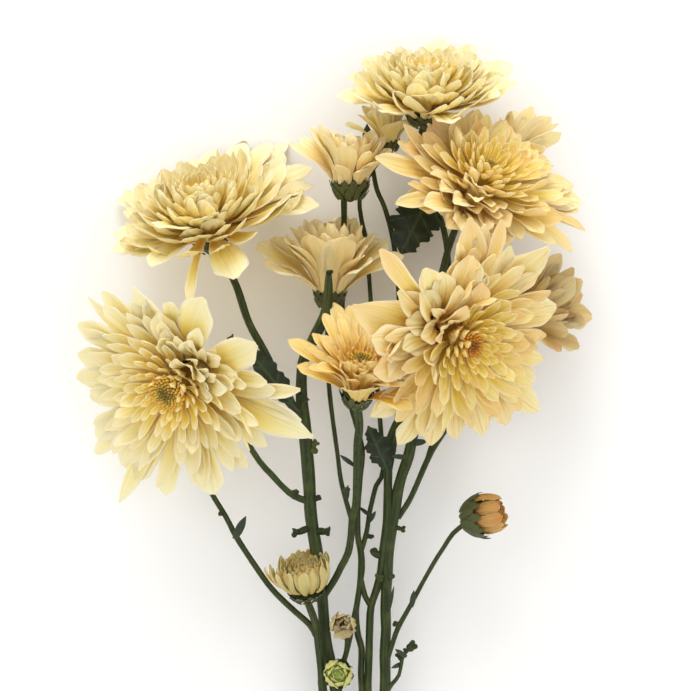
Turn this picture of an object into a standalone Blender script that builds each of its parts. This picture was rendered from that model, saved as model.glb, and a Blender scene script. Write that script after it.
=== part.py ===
"""A cut spray of cream chrysanthemums: one leafy branching stem with eleven flower heads and
four opening buds, lying on its back.

+X is to the right of the spray, +Y runs from the cut end to the top flower, and +Z is up from the
surface that it lies on. Every plan position below was read off a picture of the spray seen from
straight above, as a column and a row, with a height over the surface in millimetres.
"""

import math
import random
from dataclasses import dataclass

import bmesh
import bpy
from mathutils import Matrix, Vector
from mathutils.bvhtree import BVHTree

MM = 0.001

# The picture: an eye this high over the surface, and this many columns to the unit of distance.
EYE_HEIGHT = 1000.0
PICTURE_REACH = 2700.0
MIDDLE_COLUMN, MIDDLE_ROW = 349.5, 345.5
MIDDLE_X, MIDDLE_Y = 5.1, 71.7

# Stems
STEM_SIDES = 6
STEP_ALONG = 18.0
LEAST_STEP = 11.0
CUP_SIDES = 8

# Petals
PETAL_THICK = 0.85
OUTER_STATIONS = ((0.0, 0.25), (0.35, 0.74), (0.74, 1.0), (1.0, 0.44))
INNER_STATIONS = ((0.0, 0.34), (0.66, 1.0), (1.0, 0.54))
INNER_PART = 0.62
CLEAR = 0.4
GAP = 0.3
GOLDEN_TURN = math.radians(137.508)
SINK = 1.5

# Corners closer than this are one corner.
WELD = 0.0015


def seen(column, row, height):
    """The point, in millimetres, at this column and row of the picture and at this height."""
    per_column = (EYE_HEIGHT - height) / PICTURE_REACH
    return Vector((
        MIDDLE_X + (column - MIDDLE_COLUMN) * per_column,
        MIDDLE_Y + (MIDDLE_ROW - row) * per_column,
        height,
    ))


@dataclass(frozen=True)
class Bloom:
    """One flower head or opening bud.

    seat is the top of its calyx: column, row, height. reach is how far the outer tips are from the
    axis, rim how high they are over the seat, and rise how high the inner tips are. lean turns
    the placed petals' faces up by this many degrees. tips are outer petals with a place of their
    own: column, row, height over the seat's plane, width. tips_at are the same with the height
    over the surface.
    """

    name: str
    seat: tuple
    axis: tuple
    reach: float
    rise: float
    rim: float
    width: float
    petals: int
    seed: int
    ring: float = 7.0
    cup: float = 7.0
    incurve: float = 25.0
    lean: float = 0.0
    tips: tuple = ()
    tips_at: tuple = ()
    color: str = "cream"


BLOOMS = (
    Bloom(
        "bloom_04", (447, 332, 54), (0.51, -0.30, 0.81), 38, 21, 7, 9.5, 21, 24,
        tips=(
            (351, 305, 9, 16), (381, 250, 16, 8), (468, 217, 14, 15), (502, 220, 15, 7),
            (541, 243, 12, 14), (371, 338, 14, 11), (373, 372, 12, 11), (538, 410, 6, 9),
            (507, 424, 5, 9), (484, 434, 4, 10), (456, 438, 2, 9), (430, 445, 0, 10),
            (398, 444, -4, 10), (370, 416, -4, 10), (556, 306, 9, 10), (534, 380, 8, 10),
            (424, 268, 18, 9),
        ),
    ),
    Bloom(
        "bloom_11", (188, 374, 47), (-0.41, -0.41, 0.815), 40, 20, 7, 9.5, 19, 11,
        tips=(
            (89, 296, 9, 6), (134, 286, 14, 13), (205, 298, 16, 13), (257, 344, 12, 12),
            (300, 390, 6, 7), (314, 436, 4, 13), (78, 324, 9, 9), (78, 354, 8, 10),
            (77, 378, 7, 9), (91, 398, 5, 9), (97, 437, 3, 9), (96, 453, 1, 6),
            (121, 500, -3, 7), (165, 494, 0, 8), (213, 494, 4, 14), (248, 467, 3, 9),
            (267, 446, 5, 9), (124, 466, 1, 10),
        ),
    ),
    Bloom(
        "bloom_03", (473, 197, 38), (0.33, 0.62, 0.71), 37, 22, 9, 9.5, 22, 3,
        tips=(
            (392, 212, 6, 7), (372, 166, 6, 10), (398, 132, 12, 9), (427, 124, 12, 9),
            (586, 230, 2, 6), (572, 252, 1, 8), (581, 204, 4, 11), (573, 186, 5, 10),
            (551, 164, 8, 9), (405, 196, 0, 6), (440, 214, 6, 9), (505, 246, 4, 13),
            (540, 150, 10, 8),
        ),
    ),
    Bloom(
        "bloom_10", (209, 234, 31), (-0.20, 0.88, 0.42), 35, 22, 15, 9.0, 20, 10, lean=25,
        tips=(
            (113, 251, 2, 10), (113, 236, 4, 8), (117, 200, 7, 7), (151, 267, 2, 9),
            (319, 206, 2, 11), (313, 186, 6, 9), (312, 168, 8, 9), (287, 144, 12, 8),
            (270, 144, 14, 9), (245, 143, 14, 8),
        ),
        tips_at=(
            (189, 303, 52, 6), (236, 279, 52, 13), (222, 190, -0.4, 10), (245, 144, 6, 9),
            (158, 228, 62, 12), (205, 218, 66, 11), (215, 150, 4, 9), (190, 160, 8, 9),
        ),
    ),
    Bloom(
        "bloom_01", (425, 113, 32), (0.0, 0.93, 0.36), 30, 20, 13, 8.5, 22, 21, cup=5.5,
        lean=25,
        tips_at=(
            (336, 98, 34, 11), (348, 78, 28, 9), (363, 58, 16, 9), (442, 39, 7, 9),
            (475, 46, 12, 9), (513, 66, 22, 11), (517, 84, 30, 8), (452, 124, 58, 9),
            (425, 62, -0.4, 10), (380, 112, 52, 10), (500, 96, 46, 11), (420, 96, 62, 9),
            (394, 54, 4, 9),
        ),
    ),
    Bloom(
        "bloom_09", (358, 391, 54), (0.10, 0.80, 0.60), 20, 17, 15, 6.0, 14, 9, ring=6.0,
        incurve=55,
        tips=(
            (288, 340, 8, 8), (297, 366, 6, 7), (333, 303, 15, 6), (349, 306, 15, 6),
            (312, 334, 14, 6), (417, 396, 6, 7), (412, 410, 5, 7), (354, 374, 10, 6),
            (366, 388, 6, 5), (400, 340, 14, 6),
        ),
    ),
    Bloom(
        "bloom_08", (330, 291, 21), (0.05, 0.97, 0.10), 23, 25, 21, 9.5, 11, 8, ring=6.0,
        lean=40,
        tips_at=(
            (256, 246, 24, 13), (264, 266, 36, 11), (300, 226, 8, 10), (335, 218, 4, 10),
            (360, 224, 8, 11), (388, 240, 14, 10), (404, 257, 22, 9), (312, 236, 40, 13),
            (344, 238, 43, 12), (372, 262, 36, 12), (284, 240, 34, 12), (368, 246, 30, 11),
        ),
    ),
    Bloom(
        "bloom_06", (350, 181, 30), (0.0, 0.98, 0.12), 17, 16, 15, 7.0, 10, 6, ring=7.0,
        cup=7.5, lean=35,
        tips_at=(
            (289, 144, 32, 6), (300, 138, 24, 6), (309, 128, 38, 8), (330, 131, 20, 7),
            (322, 134, 44, 8), (382, 160, 46, 9), (392, 150, 34, 9), (368, 142, 16, 8),
            (341, 166, 44, 6), (368, 168, 44, 7), (345, 146, 47, 8),
        ),
        color="peach",
    ),
    Bloom(
        "bloom_05", (515, 318, 25), (0.75, 0.42, 0.20), 24, 20, 12, 8.0, 10, 5, lean=30,
        tips_at=(
            (561, 254, 22, 8), (573, 267, 30, 8), (582, 280, 34, 8), (582, 294, 20, 8),
            (592, 317, 26, 13), (579, 348, 24, 9), (560, 352, 36, 10), (540, 300, -0.4, 9),
        ),
    ),
    Bloom(
        "bloom_02", (503, 160, 20), (0.62, 0.72, -0.25), 19, 14, 8, 7.5, 6, 2, ring=5.5,
        cup=5.5, lean=30,
        tips_at=(
            (532, 106, 22, 10), (551, 117, 24, 8), (559, 124, 18, 7), (561, 133, 26, 8),
            (544, 147, 30, 8), (516, 112, 8, 9),
        ),
    ),
    Bloom(
        "bloom_07", (388, 141, 22), (-0.1, 0.97, 0.15), 13, 14, 12, 6.0, 6, 7, ring=4.3,
        cup=4.5, lean=30,
        tips_at=(
            (362, 106, 24, 6), (345, 125, 26, 7), (376, 108, 32, 8), (398, 122, 36, 10),
            (412, 120, 22, 7),
        ),
    ),
    Bloom(
        "bud_13", (306, 591, 26), (-0.12, 0.93, 0.34), 9.5, 9.5, 8.5, 4.2, 9, 13,
        ring=6.0, cup=5.0, incurve=50,
        tips_at=((262, 577, 30, 4), (333, 573, 30, 4), (270, 574, 36, 4), (322, 566, 37, 4)),
        color="bud",
    ),
    Bloom(
        "bud_14", (474, 517, 31), (0.95, 0.18, 0.25), 7.0, 11.0, 10.0, 4.6, 11, 14, ring=6.2,
        cup=5.0, incurve=40, color="peach",
    ),
    Bloom(
        "bud_15", (344, 627, 23), (-0.05, 0.35, 0.93), 3.6, 4.6, 4.2, 2.4, 8, 15, ring=3.4,
        cup=2.6, incurve=70, color="bud",
    ),
    Bloom(
        "bud_16", (338, 674, 21), (0.0, 0.08, 1.0), 4.8, 4.4, 3.8, 2.8, 9, 16, ring=4.6,
        cup=3.4, incurve=80, color="bud",
    ),
)

# Shoots: column, row, height, width in columns, each from its flower or tip down to its join.
SHOOTS = {
    "left_main": (
        (328.6, 277, 42, 9.5), (328, 300, 41, 10.5), (325, 316, 40, 11), (313, 340, 37, 11),
        (303, 363, 35, 11), (301.5, 394, 32, 11.5), (304, 420, 30, 12.5), (309, 480, 26, 12.8),
        (311, 516, 23, 12.5), (316.7, 553, 21, 12), (322, 596, 19, 11.5), (326, 640, 17, 11),
        (336, 691, 15, 11.5), (346, 760, 12, 12), (356, 825, 9.5, 12), (364, 885, 7.5, 12),
    ),
    "to_bloom_10": (
        (304, 414, 30, 8.5), (295, 409, 31, 8), (284, 394, 31, 8), (267, 356, 31, 7.8),
        (249, 323, 31, 7.6), (236, 285, 31, 7.4), (222.6, 260, 29, 7), (213, 246, 28.5, 6.5),
    ),
    "to_bloom_11": (
        (307, 501, 25, 7), (294, 496, 27, 6.5), (283, 487, 29, 6), (271, 474, 30, 6),
        (260, 462, 30, 6), (243, 435, 28, 6), (228, 405, 27, 6), (216, 380, 29, 6),
        (206, 367, 35, 6), (198, 364, 41, 6.5),
    ),
    "to_bud_13": (
        (308, 603, 25, 7), (315, 622, 22.5, 7.5), (318, 640, 20.5, 8), (321.6, 673, 18, 8.5),
        (323, 691, 16, 9), (333, 750, 13, 9), (350, 808, 10, 9),
    ),
    "behind_bloom_11": (
        (316, 636, 21, 6), (310, 625, 21, 6.2), (290, 607, 20, 6.2), (272, 589, 19, 6.2),
        (258, 570, 18, 6), (237, 538, 17, 5.8), (226, 517, 16, 5.5), (212, 494, 15, 5.4),
        (200, 470, 14, 5), (194, 450, 14, 5),
    ),
    "to_bloom_08": (
        (330, 308, 20.5, 5.5), (327, 340, 21, 5), (328, 366, 22, 5), (329, 386, 22, 4.6),
        (331, 406, 22, 4.6), (334, 429, 22, 4.6), (338, 458, 22, 4.6), (340, 475, 22.5, 4.6),
        (343.6, 492, 23.5, 4.8), (351, 518, 26, 5),
    ),
    "to_bloom_09": (
        (357, 405, 50.5, 8.5), (359.4, 424, 43, 8.3), (357.4, 447, 37, 8), (356.8, 475, 32, 7.6),
        (355.5, 505, 28, 7.3), (352, 520, 26, 7.3), (351, 536, 25, 7.2), (348, 553, 24, 7),
        (341, 567, 22.5, 7), (335, 579, 21, 6.8), (323, 598, 19, 6.5),
    ),
    "to_bloom_06": (
        (344, 198, 29.5, 6.2), (344, 225, 20, 6), (343, 262, 6, 5.5), (342, 300, 4, 5.5),
        (344, 350, 9, 5.5), (345, 393, 16, 5.5), (350, 404, 17, 5.5), (355, 420, 18, 5.5),
        (361, 443, 19, 5.5), (362.5, 455, 19, 5.5), (360, 480, 19, 5.5), (357.6, 509, 18.5, 6),
        (357.8, 536, 18, 6), (361, 553, 17, 7), (361.4, 569, 16.5, 7.4), (359, 591, 16.5, 6),
        (356.5, 607, 16, 6), (356, 618, 16, 6.5), (358, 636, 15.5, 6.5), (361.5, 648, 15, 6.5),
        (361, 672, 14.5, 6.5), (362, 691, 14, 6.6), (365, 735, 12, 6.8), (371, 785, 10.5, 7),
    ),
    "to_bud_16": (
        (356.5, 606, 16.5, 5.5), (354, 618, 18, 5.5), (349.4, 640, 19, 5.5),
        (345.6, 655, 18, 5.5), (340.5, 674, 17.4, 5.5), (339, 702, 14.8, 5.5),
    ),
    "to_bud_15": ((344, 632, 21.2, 4.5), (347, 641, 20.5, 4.5), (345.6, 656, 18.4, 4.8)),
    "left_tie": ((361, 580, 16.5, 6), (365, 596, 17, 6), (372, 608, 17, 6)),
    "to_bloom_07": (
        (386, 152, 21.5, 4.6), (376, 165, 17, 4.5), (364, 185, 14, 4.5), (359.5, 202, 13.5, 4.5),
        (362, 222, 13, 4.5), (366, 242, 11, 4.5), (370, 290, 8, 4.6), (374, 350, 8, 4.8),
        (380, 420, 12, 5), (383, 470, 15, 5), (376, 486, 16, 5), (371.7, 503, 17, 5),
        (369, 515, 17, 5), (366.6, 532, 17, 5.2), (361, 552, 17, 5.5),
    ),
    "bare_tip": (
        (369.5, 136, 19, 5), (370, 151, 18.5, 5), (373, 170, 17, 5), (377, 190, 16, 5),
        (384, 206, 14, 5), (391, 230, 12, 5), (396, 262, 9, 5), (400, 320, 8, 5),
        (400, 380, 11, 5.5), (396, 430, 16, 6), (389, 470, 19, 7),
    ),
    "to_bloom_03": (
        (467, 208, 33.5, 7), (459, 221, 27, 7), (448, 250, 19, 7), (436, 300, 14, 7.5),
        (420, 360, 13, 8), (403, 410, 16, 8.5), (389, 445, 18.5, 9), (388, 480, 19.5, 9),
        (387.5, 520, 20, 9.5), (384, 550, 19, 9.6), (381, 573, 18, 9), (377, 588, 17.5, 8.2),
        (371, 607, 17, 7.8), (369.6, 629, 16.5, 7.6), (369, 651, 16, 7.6), (368, 691, 14.5, 7.8),
        (370, 745, 12.2, 8), (374, 805, 10, 8.5),
    ),
    "to_bloom_04": (
        (438, 327, 48, 7.2), (434, 334, 40, 7.2), (429, 352, 31, 7.5), (421, 390, 24, 8.5),
        (415, 425, 22, 10), (412, 440, 21.5, 10.5), (408, 458, 21, 11), (402, 475, 20.5, 11),
        (397.6, 492, 20, 11.4), (395, 509, 19.5, 11.4), (391, 532, 19, 11), (388.5, 550, 18.5, 11),
        (387, 575, 18, 11), (385.5, 607, 17.5, 10.6), (386, 629, 17, 10.4), (385, 651, 16.5, 10.4),
        (385, 691, 15.5, 10.6), (381, 745, 13, 12), (375, 805, 10.4, 15), (369, 860, 8.2, 18),
        (363, 930, 5.6, 21), (360, 985, 4.2, 22.5), (359, 1040, 3.5, 23),
    ),
    "to_bloom_05": (
        (504, 325, 24, 5.5), (494, 340, 20, 5.5), (476, 376, 15, 5.5), (455, 415, 15, 5.5),
        (435.5, 445, 16, 5.5), (426, 463, 17, 5.5), (417, 484, 17.5, 5.5), (409, 501, 18, 5.5),
        (398, 518, 19, 6),
    ),
    "to_bloom_01": (
        (424.5, 125, 30.5, 7.4), (421.5, 137, 27, 7), (424, 160, 20, 6.5), (432, 195, 12, 6),
        (445, 235, 8, 6), (448, 280, 7.5, 6), (440, 340, 9, 6), (428, 390, 13, 6.5),
        (416, 428, 20, 7.5),
    ),
    "to_bloom_02": (
        (496, 168, 21, 5.2), (486, 190, 14, 5.2), (474, 230, 9, 5.2), (463, 290, 8, 5.4),
        (455, 350, 8, 5.4), (442, 410, 12, 5.4), (427, 461, 17, 5.6),
    ),
    "to_bud_14": (
        (464, 524.5, 30, 4.8), (453, 533.5, 29, 4.6), (444, 547, 28, 4.5), (435, 561, 26, 4.5),
        (423, 582, 24, 4.6), (409.6, 607, 21.5, 4.8), (398, 628, 19.5, 5), (392, 645, 18, 5),
        (386, 664, 16.5, 5.4),
    ),
    "to_bud_17": (
        (410, 648, 22, 4.5), (403, 656, 21, 4), (399, 675, 19, 4), (392, 684, 17, 4.2),
        (385, 695, 15.5, 4.6),
    ),
}

# Knobs where a leaf or a side shoot broke off: column, row, height, radius in mm, stretch in X, Y.
KNOBS = (
    (317, 499, 26, 2.1, 1.5, 1.0), (296, 491, 27, 1.8, 1.3, 1.0), (318, 447, 28, 1.9, 1.3, 1.3),
    (385, 577, 19, 3.4, 1.2, 0.7), (373, 553, 18, 2.3, 1.1, 0.9), (396, 624, 20, 1.6, 1.0, 1.2),
    (410.5, 646.5, 22.5, 2.3, 1.0, 1.0), (300, 387, 34, 2.2, 1.0, 1.2), (221, 514, 16.5, 1.5, 1.0, 1.1),
    (194, 447, 15, 3.4, 1.0, 1.2), (328, 277, 42.4, 1.8, 1.0, 1.1),
)

# Bracts and small leaves on the stems: root and tip as column, row, height, then width in mm.
BRACTS = (
    ((311, 534, 23), (293, 530, 27), 3.4), ((313, 535, 23), (328, 530, 27), 3.0),
    ((341, 461, 23), (354, 455, 28), 2.6), ((346, 500, 25), (352, 480, 30), 2.6),
    ((369, 521, 18), (378, 507, 23), 2.8), ((397, 488, 21), (402, 453, 27), 2.8),
    ((412, 604, 22), (415, 589, 27), 2.2), ((398, 676, 19), (404, 648, 24), 2.4),
    ((395, 682, 17), (390, 658, 22), 2.4), ((236, 536, 18), (246, 516, 23), 3.0),
    ((368, 150, 19.5), (367, 124, 23), 3.8), ((301, 398, 33), (310, 400, 38), 3.0),
    ((413, 443, 23), (428, 445, 28), 2.6), ((388, 612, 18), (396, 583, 25), 1.8),
    ((303, 372, 36), (294, 384, 41), 2.6),
)


@dataclass(frozen=True)
class Leaf:
    """A lobed leaf: foot and tip as column, row, height, the half widths in mm on its left and
    right at even steps along the midrib, and how far its edges turn up or down."""

    foot: tuple
    tip: tuple
    left: tuple
    right: tuple
    droop: float
    arch: float


LEAVES = (
    Leaf((431, 193, 12), (401, 254, 17), (1.2, 7.5, 5.8, 9.6, 6.6, 7.6, 4.4, 4.6, 0.0),
         (1.2, 6.6, 5.2, 9.4, 7.4, 10.6, 6.0, 5.2, 0.0), -1.5, 2.0),
    Leaf((389, 474, 20.5), (368, 426, 24), (0.8, 1.6, 2.2, 4.4, 3.4, 4.6, 2.4, 2.2, 0.0),
         (0.8, 1.8, 3.0, 6.0, 4.4, 5.6, 3.0, 2.4, 0.0), -0.8, 1.6),
    Leaf((262, 347, 31), (281, 372, 40), (0.8, 2.0, 1.8, 3.0, 2.2, 2.6, 1.6, 1.2, 0.0),
         (0.8, 1.8, 1.6, 2.6, 1.8, 2.2, 1.4, 1.0, 0.0), -0.4, 0.6),
    Leaf((214, 380, 30), (233, 334, 27), (0.7, 1.8, 1.6, 2.4, 2.0, 2.4, 1.6, 1.4, 0.0),
         (0.7, 1.8, 1.6, 2.4, 2.0, 2.4, 1.6, 1.4, 0.0), -0.4, 0.8),
)


def clear_scene():
    """Removes what the new file holds."""
    for thing in list(bpy.data.objects):
        bpy.data.objects.remove(thing, do_unlink=True)


def material(name, color, roughness):
    """A plain material of this colour."""
    made = bpy.data.materials.new(name)
    made.use_nodes = True
    shader = made.node_tree.nodes["Principled BSDF"]
    shader.inputs["Base Color"].default_value = (*color, 1.0)
    shader.inputs["Roughness"].default_value = roughness
    shader.inputs["Metallic"].default_value = 0.0
    made.diffuse_color = (*color, 1.0)
    return made


def solid(name, points, faces):
    """A mesh object from points in millimetres, with its faces turned outwards."""
    mesh = bpy.data.meshes.new(name)
    mesh.from_pydata([tuple(p * MM) for p in points], [], faces)
    made = bpy.data.objects.new(name, mesh)
    bpy.context.scene.collection.objects.link(made)
    work = bmesh.new()
    work.from_mesh(mesh)
    bmesh.ops.recalc_face_normals(work, faces=work.faces)
    work.to_mesh(mesh)
    work.free()
    return made


def rings_to_solid(rings):
    """Points and faces of the solid that runs through these rings of equal length, capped."""
    sides = len(rings[0])
    points = [p for ring in rings for p in ring]
    faces = []
    for k in range(len(rings) - 1):
        for i in range(sides):
            j = (i + 1) % sides
            faces.append((k * sides + i, k * sides + j, (k + 1) * sides + j, (k + 1) * sides + i))
    last = (len(rings) - 1) * sides
    faces.append(tuple(reversed(range(sides))))
    faces.append(tuple(last + i for i in range(sides)))
    return points, faces


def turned(profile, centre, axis, sides, phase=0.0):
    """Points and faces of a profile of (radius, height) turned about the axis. It starts and
    ends on the axis."""
    up = Vector(axis).normalized()
    across = up.orthogonal().normalized()
    other = up.cross(across)
    points = [centre + up * profile[0][1]]
    for radius, height in profile[1:-1]:
        for i in range(sides):
            turn = 2 * math.pi * (i + phase) / sides
            out = across * math.cos(turn) + other * math.sin(turn)
            points.append(centre + up * height + out * radius)
    points.append(centre + up * profile[-1][1])
    faces = []
    rows = len(profile) - 2
    for i in range(sides):
        j = (i + 1) % sides
        faces.append((0, 1 + j, 1 + i))
        for k in range(rows - 1):
            a, b = 1 + k * sides, 1 + (k + 1) * sides
            faces.append((a + i, a + j, b + j, b + i))
        top = 1 + (rows - 1) * sides
        faces.append((top + i, top + j, len(points) - 1))
    return points, faces


def curve_points(knots, step):
    """A smooth line through the knots, each a point and a radius, read about every step."""
    out = []
    count = len(knots)
    for k in range(count - 1):
        p1, r1 = knots[k]
        p2, r2 = knots[k + 1]
        p0 = knots[k - 1][0] if k else p1 * 2 - p2
        p3 = knots[k + 2][0] if k + 2 < count else p2 * 2 - p1
        parts = max(1, round((p2 - p1).length / step))
        for i in range(parts):
            t = i / parts
            along = (
                p1 * 2 + (p2 - p0) * t + (p0 * 2 - p1 * 5 + p2 * 4 - p3) * t * t
                + (p1 * 3 - p0 - p2 * 3 + p3) * t * t * t
            ) * 0.5
            out.append((along, r1 + (r2 - r1) * t))
    out.append(knots[-1])
    return out


def thinned(line, least):
    """The line without points that crowd the one before, its ends kept."""
    kept = [line[0]]
    for point, radius in line[1:-1]:
        if (point - kept[-1][0]).length >= least and (line[-1][0] - point).length >= least:
            kept.append((point, radius))
    kept.append(line[-1])
    return kept


def tube(line, sides):
    """Points and faces of a round tube along a line of points and radii."""
    rings = []
    side = None
    for k, (point, radius) in enumerate(line):
        before = line[max(k - 1, 0)][0]
        after = line[min(k + 1, len(line) - 1)][0]
        along = (after - before).normalized()
        side = along.orthogonal().normalized() if side is None else side
        side = (side - along * side.dot(along)).normalized()
        other = along.cross(side)
        rings.append([
            point + side * (radius * math.cos(2 * math.pi * i / sides))
            + other * (radius * math.sin(2 * math.pi * i / sides))
            for i in range(sides)
        ])
    return rings_to_solid(rings)


def shoot_line(knots):
    """The line of a shoot from its table, with radii in millimetres."""
    line = []
    for column, row, height, width in knots:
        per_column = (EYE_HEIGHT - height) / PICTURE_REACH
        line.append((seen(column, row, height), width * per_column / 2))
    return thinned(curve_points(line, STEP_ALONG), LEAST_STEP)


def frame_of(bloom):
    """The seat, the axis and the two directions across it."""
    up = Vector(bloom.axis).normalized()
    across = Vector((1, 0, 0)) - up * up.x
    across.normalize()
    return seen(*bloom.seat), up, across, up.cross(across)


@dataclass(frozen=True)
class Petal:
    """One petal in its flower's frame: turn about the axis, root and tip as distance from the
    axis and height over the seat, the slopes at both ends, and its shape."""

    turn: float
    root: tuple
    tip: tuple
    start: float
    finish: float
    width: float
    cup: float
    twist: float
    sway: float
    stations: tuple


def placed_tips(bloom):
    """(turn, distance, height, width) of the petals that have a place of their own."""
    seat, up, across, other = frame_of(bloom)
    eye = Vector((MIDDLE_X, MIDDLE_Y, EYE_HEIGHT))
    found = []
    for column, row, lift, width in bloom.tips:
        sight = seen(column, row, 0.0) - eye
        reach = (lift - (eye - seat).dot(up)) / sight.dot(up)
        found.append((eye + sight * reach, width))
    for column, row, height, width in bloom.tips_at:
        found.append((seen(column, row, height), width))
    out = []
    for point, width in found:
        arm = point - seat
        high = arm.dot(up)
        flat = arm - up * high
        out.append((math.atan2(flat.dot(other), flat.dot(across)), flat.length, high, width))
    return out


def outline_at(bloom, tips, turn):
    """How far and how high the outer petals of this side reach."""
    total, far, high = 0.12, 0.12 * bloom.reach, 0.12 * bloom.rim
    for angle, distance, height, _ in tips:
        apart = (angle - turn + math.pi) % (2 * math.pi) - math.pi
        share = math.exp(-((apart / math.radians(16)) ** 2))
        total += share
        far += share * distance
        high += share * height
    return far / total, high / total


def leaned(bloom, turn, share):
    """The twist in degrees that turns a petal at this side of the flower to face up more."""
    _, up, across, other = frame_of(bloom)
    out = across * math.cos(turn) + other * math.sin(turn)
    beside = up.cross(out)
    return bloom.lean * share * -math.copysign(1.0, beside.z) * abs(beside.z)


def petals_of(bloom, count):
    """The petals of a flower, from the innermost out, with the placed ones last."""
    draw = random.Random(bloom.seed)
    tips = placed_tips(bloom)
    petals = []
    for k in range(count):
        t = (k + 0.5) / count
        turn = k * GOLDEN_TURN + draw.uniform(-0.12, 0.12)
        far, high = outline_at(bloom, tips, turn)
        root = (bloom.ring * (0.55 + 0.35 * t), bloom.rise * (0.52 - 0.44 * t))
        inner = bloom.ring * 1.15
        reach = inner + (far * 0.94 - inner) * t ** 0.75
        lift = bloom.rise + (high - bloom.rise) * t ** 2.2
        slope = math.degrees(math.atan2(lift - root[1], reach - root[0]))
        start = slope + 24 * t - (1 - t) * bloom.incurve * 0.5
        finish = slope - 22 * t + (1 - t) * bloom.incurve
        petals.append(Petal(
            turn, root, (reach + draw.uniform(-1, 1), lift + draw.uniform(-1, 1)), start, finish,
            bloom.width * (0.70 + 0.35 * t) * draw.uniform(0.9, 1.1), 0.30 - 0.18 * t,
            leaned(bloom, turn, 0.6) + draw.uniform(-12, 12), draw.uniform(-0.06, 0.06),
            INNER_STATIONS if t < INNER_PART else OUTER_STATIONS,
        ))
    for turn, far, high, width in tips:
        root = (bloom.ring * 0.9, 2.2)
        slope = math.degrees(math.atan2(high - root[1], far - root[0]))
        petals.append(Petal(
            turn, root, (far, high), slope + 22, slope - 18, width, 0.14,
            leaned(bloom, turn, 1.0) + draw.uniform(-8, 8), draw.uniform(-0.04, 0.04),
            OUTER_STATIONS,
        ))
    return petals


def blade(bloom, petal, grow=0.0):
    """Points and faces of a petal as a thin keeled blade. grow makes it larger all round."""
    seat, up, across, other = frame_of(bloom)
    out = across * math.cos(petal.turn) + other * math.sin(petal.turn)
    beside = up.cross(out)
    root = seat + out * petal.root[0] + up * petal.root[1]
    tip = seat + out * petal.tip[0] + up * petal.tip[1]
    length = (tip - root).length
    leave = out * math.cos(math.radians(petal.start)) + up * math.sin(math.radians(petal.start))
    arrive = out * math.cos(math.radians(petal.finish)) + up * math.sin(math.radians(petal.finish))
    rings = []
    for s, spread in petal.stations:
        a, b = 2 * s ** 3 - 3 * s ** 2 + 1, s ** 3 - 2 * s ** 2 + s
        c, d = -2 * s ** 3 + 3 * s ** 2, s ** 3 - s ** 2
        point = root * a + leave * (length * b) + tip * c + arrive * (length * d)
        point = point + beside * (petal.sway * length * 4 * s * (1 - s))
        a, b = 6 * s ** 2 - 6 * s, 3 * s ** 2 - 4 * s + 1
        c, d = -a, 3 * s ** 2 - 2 * s
        along = (root * a + leave * (length * b) + tip * c + arrive * (length * d)).normalized()
        spin = Matrix.Rotation(math.radians(petal.twist) * s, 3, along)
        side = spin @ beside
        face = along.cross(side)
        half = petal.width * spread / 2 + grow
        raise_by = petal.cup * petal.width * spread / 2
        if grow and s == 1.0:
            point = point + along * grow
        rings.append([
            point + side * half + face * (raise_by + grow),
            point - side * half + face * (raise_by + grow),
            point - face * (PETAL_THICK + grow),
        ])
    return rings_to_solid(rings)


def moved(petal, lift=0.0, turn=0.0, reach=1.0):
    """The petal with its tip raised, turned or drawn in."""
    slope = math.degrees(math.atan2(petal.tip[1] - petal.root[1], petal.tip[0] - petal.root[0]))
    tip = (
        petal.root[0] + (petal.tip[0] - petal.root[0]) * reach,
        petal.root[1] + (petal.tip[1] + lift - petal.root[1]) * reach,
    )
    new = math.degrees(math.atan2(tip[1] - petal.root[1], tip[0] - petal.root[0]))
    return Petal(
        petal.turn + turn, petal.root, tip, petal.start + new - slope, petal.finish + new - slope,
        petal.width, petal.cup, petal.twist, petal.sway, petal.stations,
    )


def bent_clear(bloom, petal, others):
    """The petal, bent as little as it takes to miss its neighbours and the surface, or None."""
    tries = [(0.0, 0.0, 1.0)]
    for lift in (2, -2, 4, -4, 6, -6, 9, -9):
        tries.append((lift, 0.0, 1.0))
    for reach in (0.88, 0.75, 0.6):
        for lift in (0, 4, -4, 8, -8, 13):
            for turn in (0.0, 0.2, -0.2):
                tries.append((lift, turn, reach))
    for lift, turn, reach in tries:
        option = moved(petal, lift, turn, reach)
        if min(p.z for p in blade(bloom, option)[0]) < -SINK - 0.01:
            continue
        points, faces = blade(bloom, option, CLEAR)
        probe = BVHTree.FromPolygons(points, faces)
        if not any(probe.overlap(tree) for tree in others):
            return option
    return None


def core_profile(bloom):
    """The small mound that the petals grow from, flat below."""
    ring, top = bloom.ring, bloom.rise * 0.66
    return ((0, 0), (ring, 0), (ring * 1.22, top * 0.4), (ring * 0.9, top * 0.84), (0, top))


def cup_profile(bloom):
    """The calyx: a cup just under the flower, drawn in to its stalk."""
    stalk = 0.30 * bloom.ring
    return (
        (0, -GAP), (bloom.ring, -GAP), (bloom.ring * 0.92, -GAP - 0.34 * bloom.cup),
        (bloom.ring * 0.52, -GAP - 0.8 * bloom.cup), (stalk, -GAP - bloom.cup),
        (0, -GAP - bloom.cup - 0.6),
    )


def bract_solid(root, tip, width):
    """A small pointed leaf from root to tip, keeled below."""
    start, end = seen(*root), seen(*tip)
    along = (end - start).normalized()
    side = along.cross(Vector((0, 0, 1)))
    side = side.normalized() if side.length > 0.1 else Vector((1, 0, 0))
    face = side.cross(along)
    face = face if face.z > 0 else -face
    rings = []
    for s, spread, rise in ((0.0, 0.5, 0.0), (0.45, 1.0, 0.5), (1.0, 0.22, 0.0)):
        point = start + (end - start) * s + face * rise
        half = width * spread / 2
        rings.append([point + side * half, point - side * half, point - face * 0.9])
    return rings_to_solid(rings)


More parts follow.
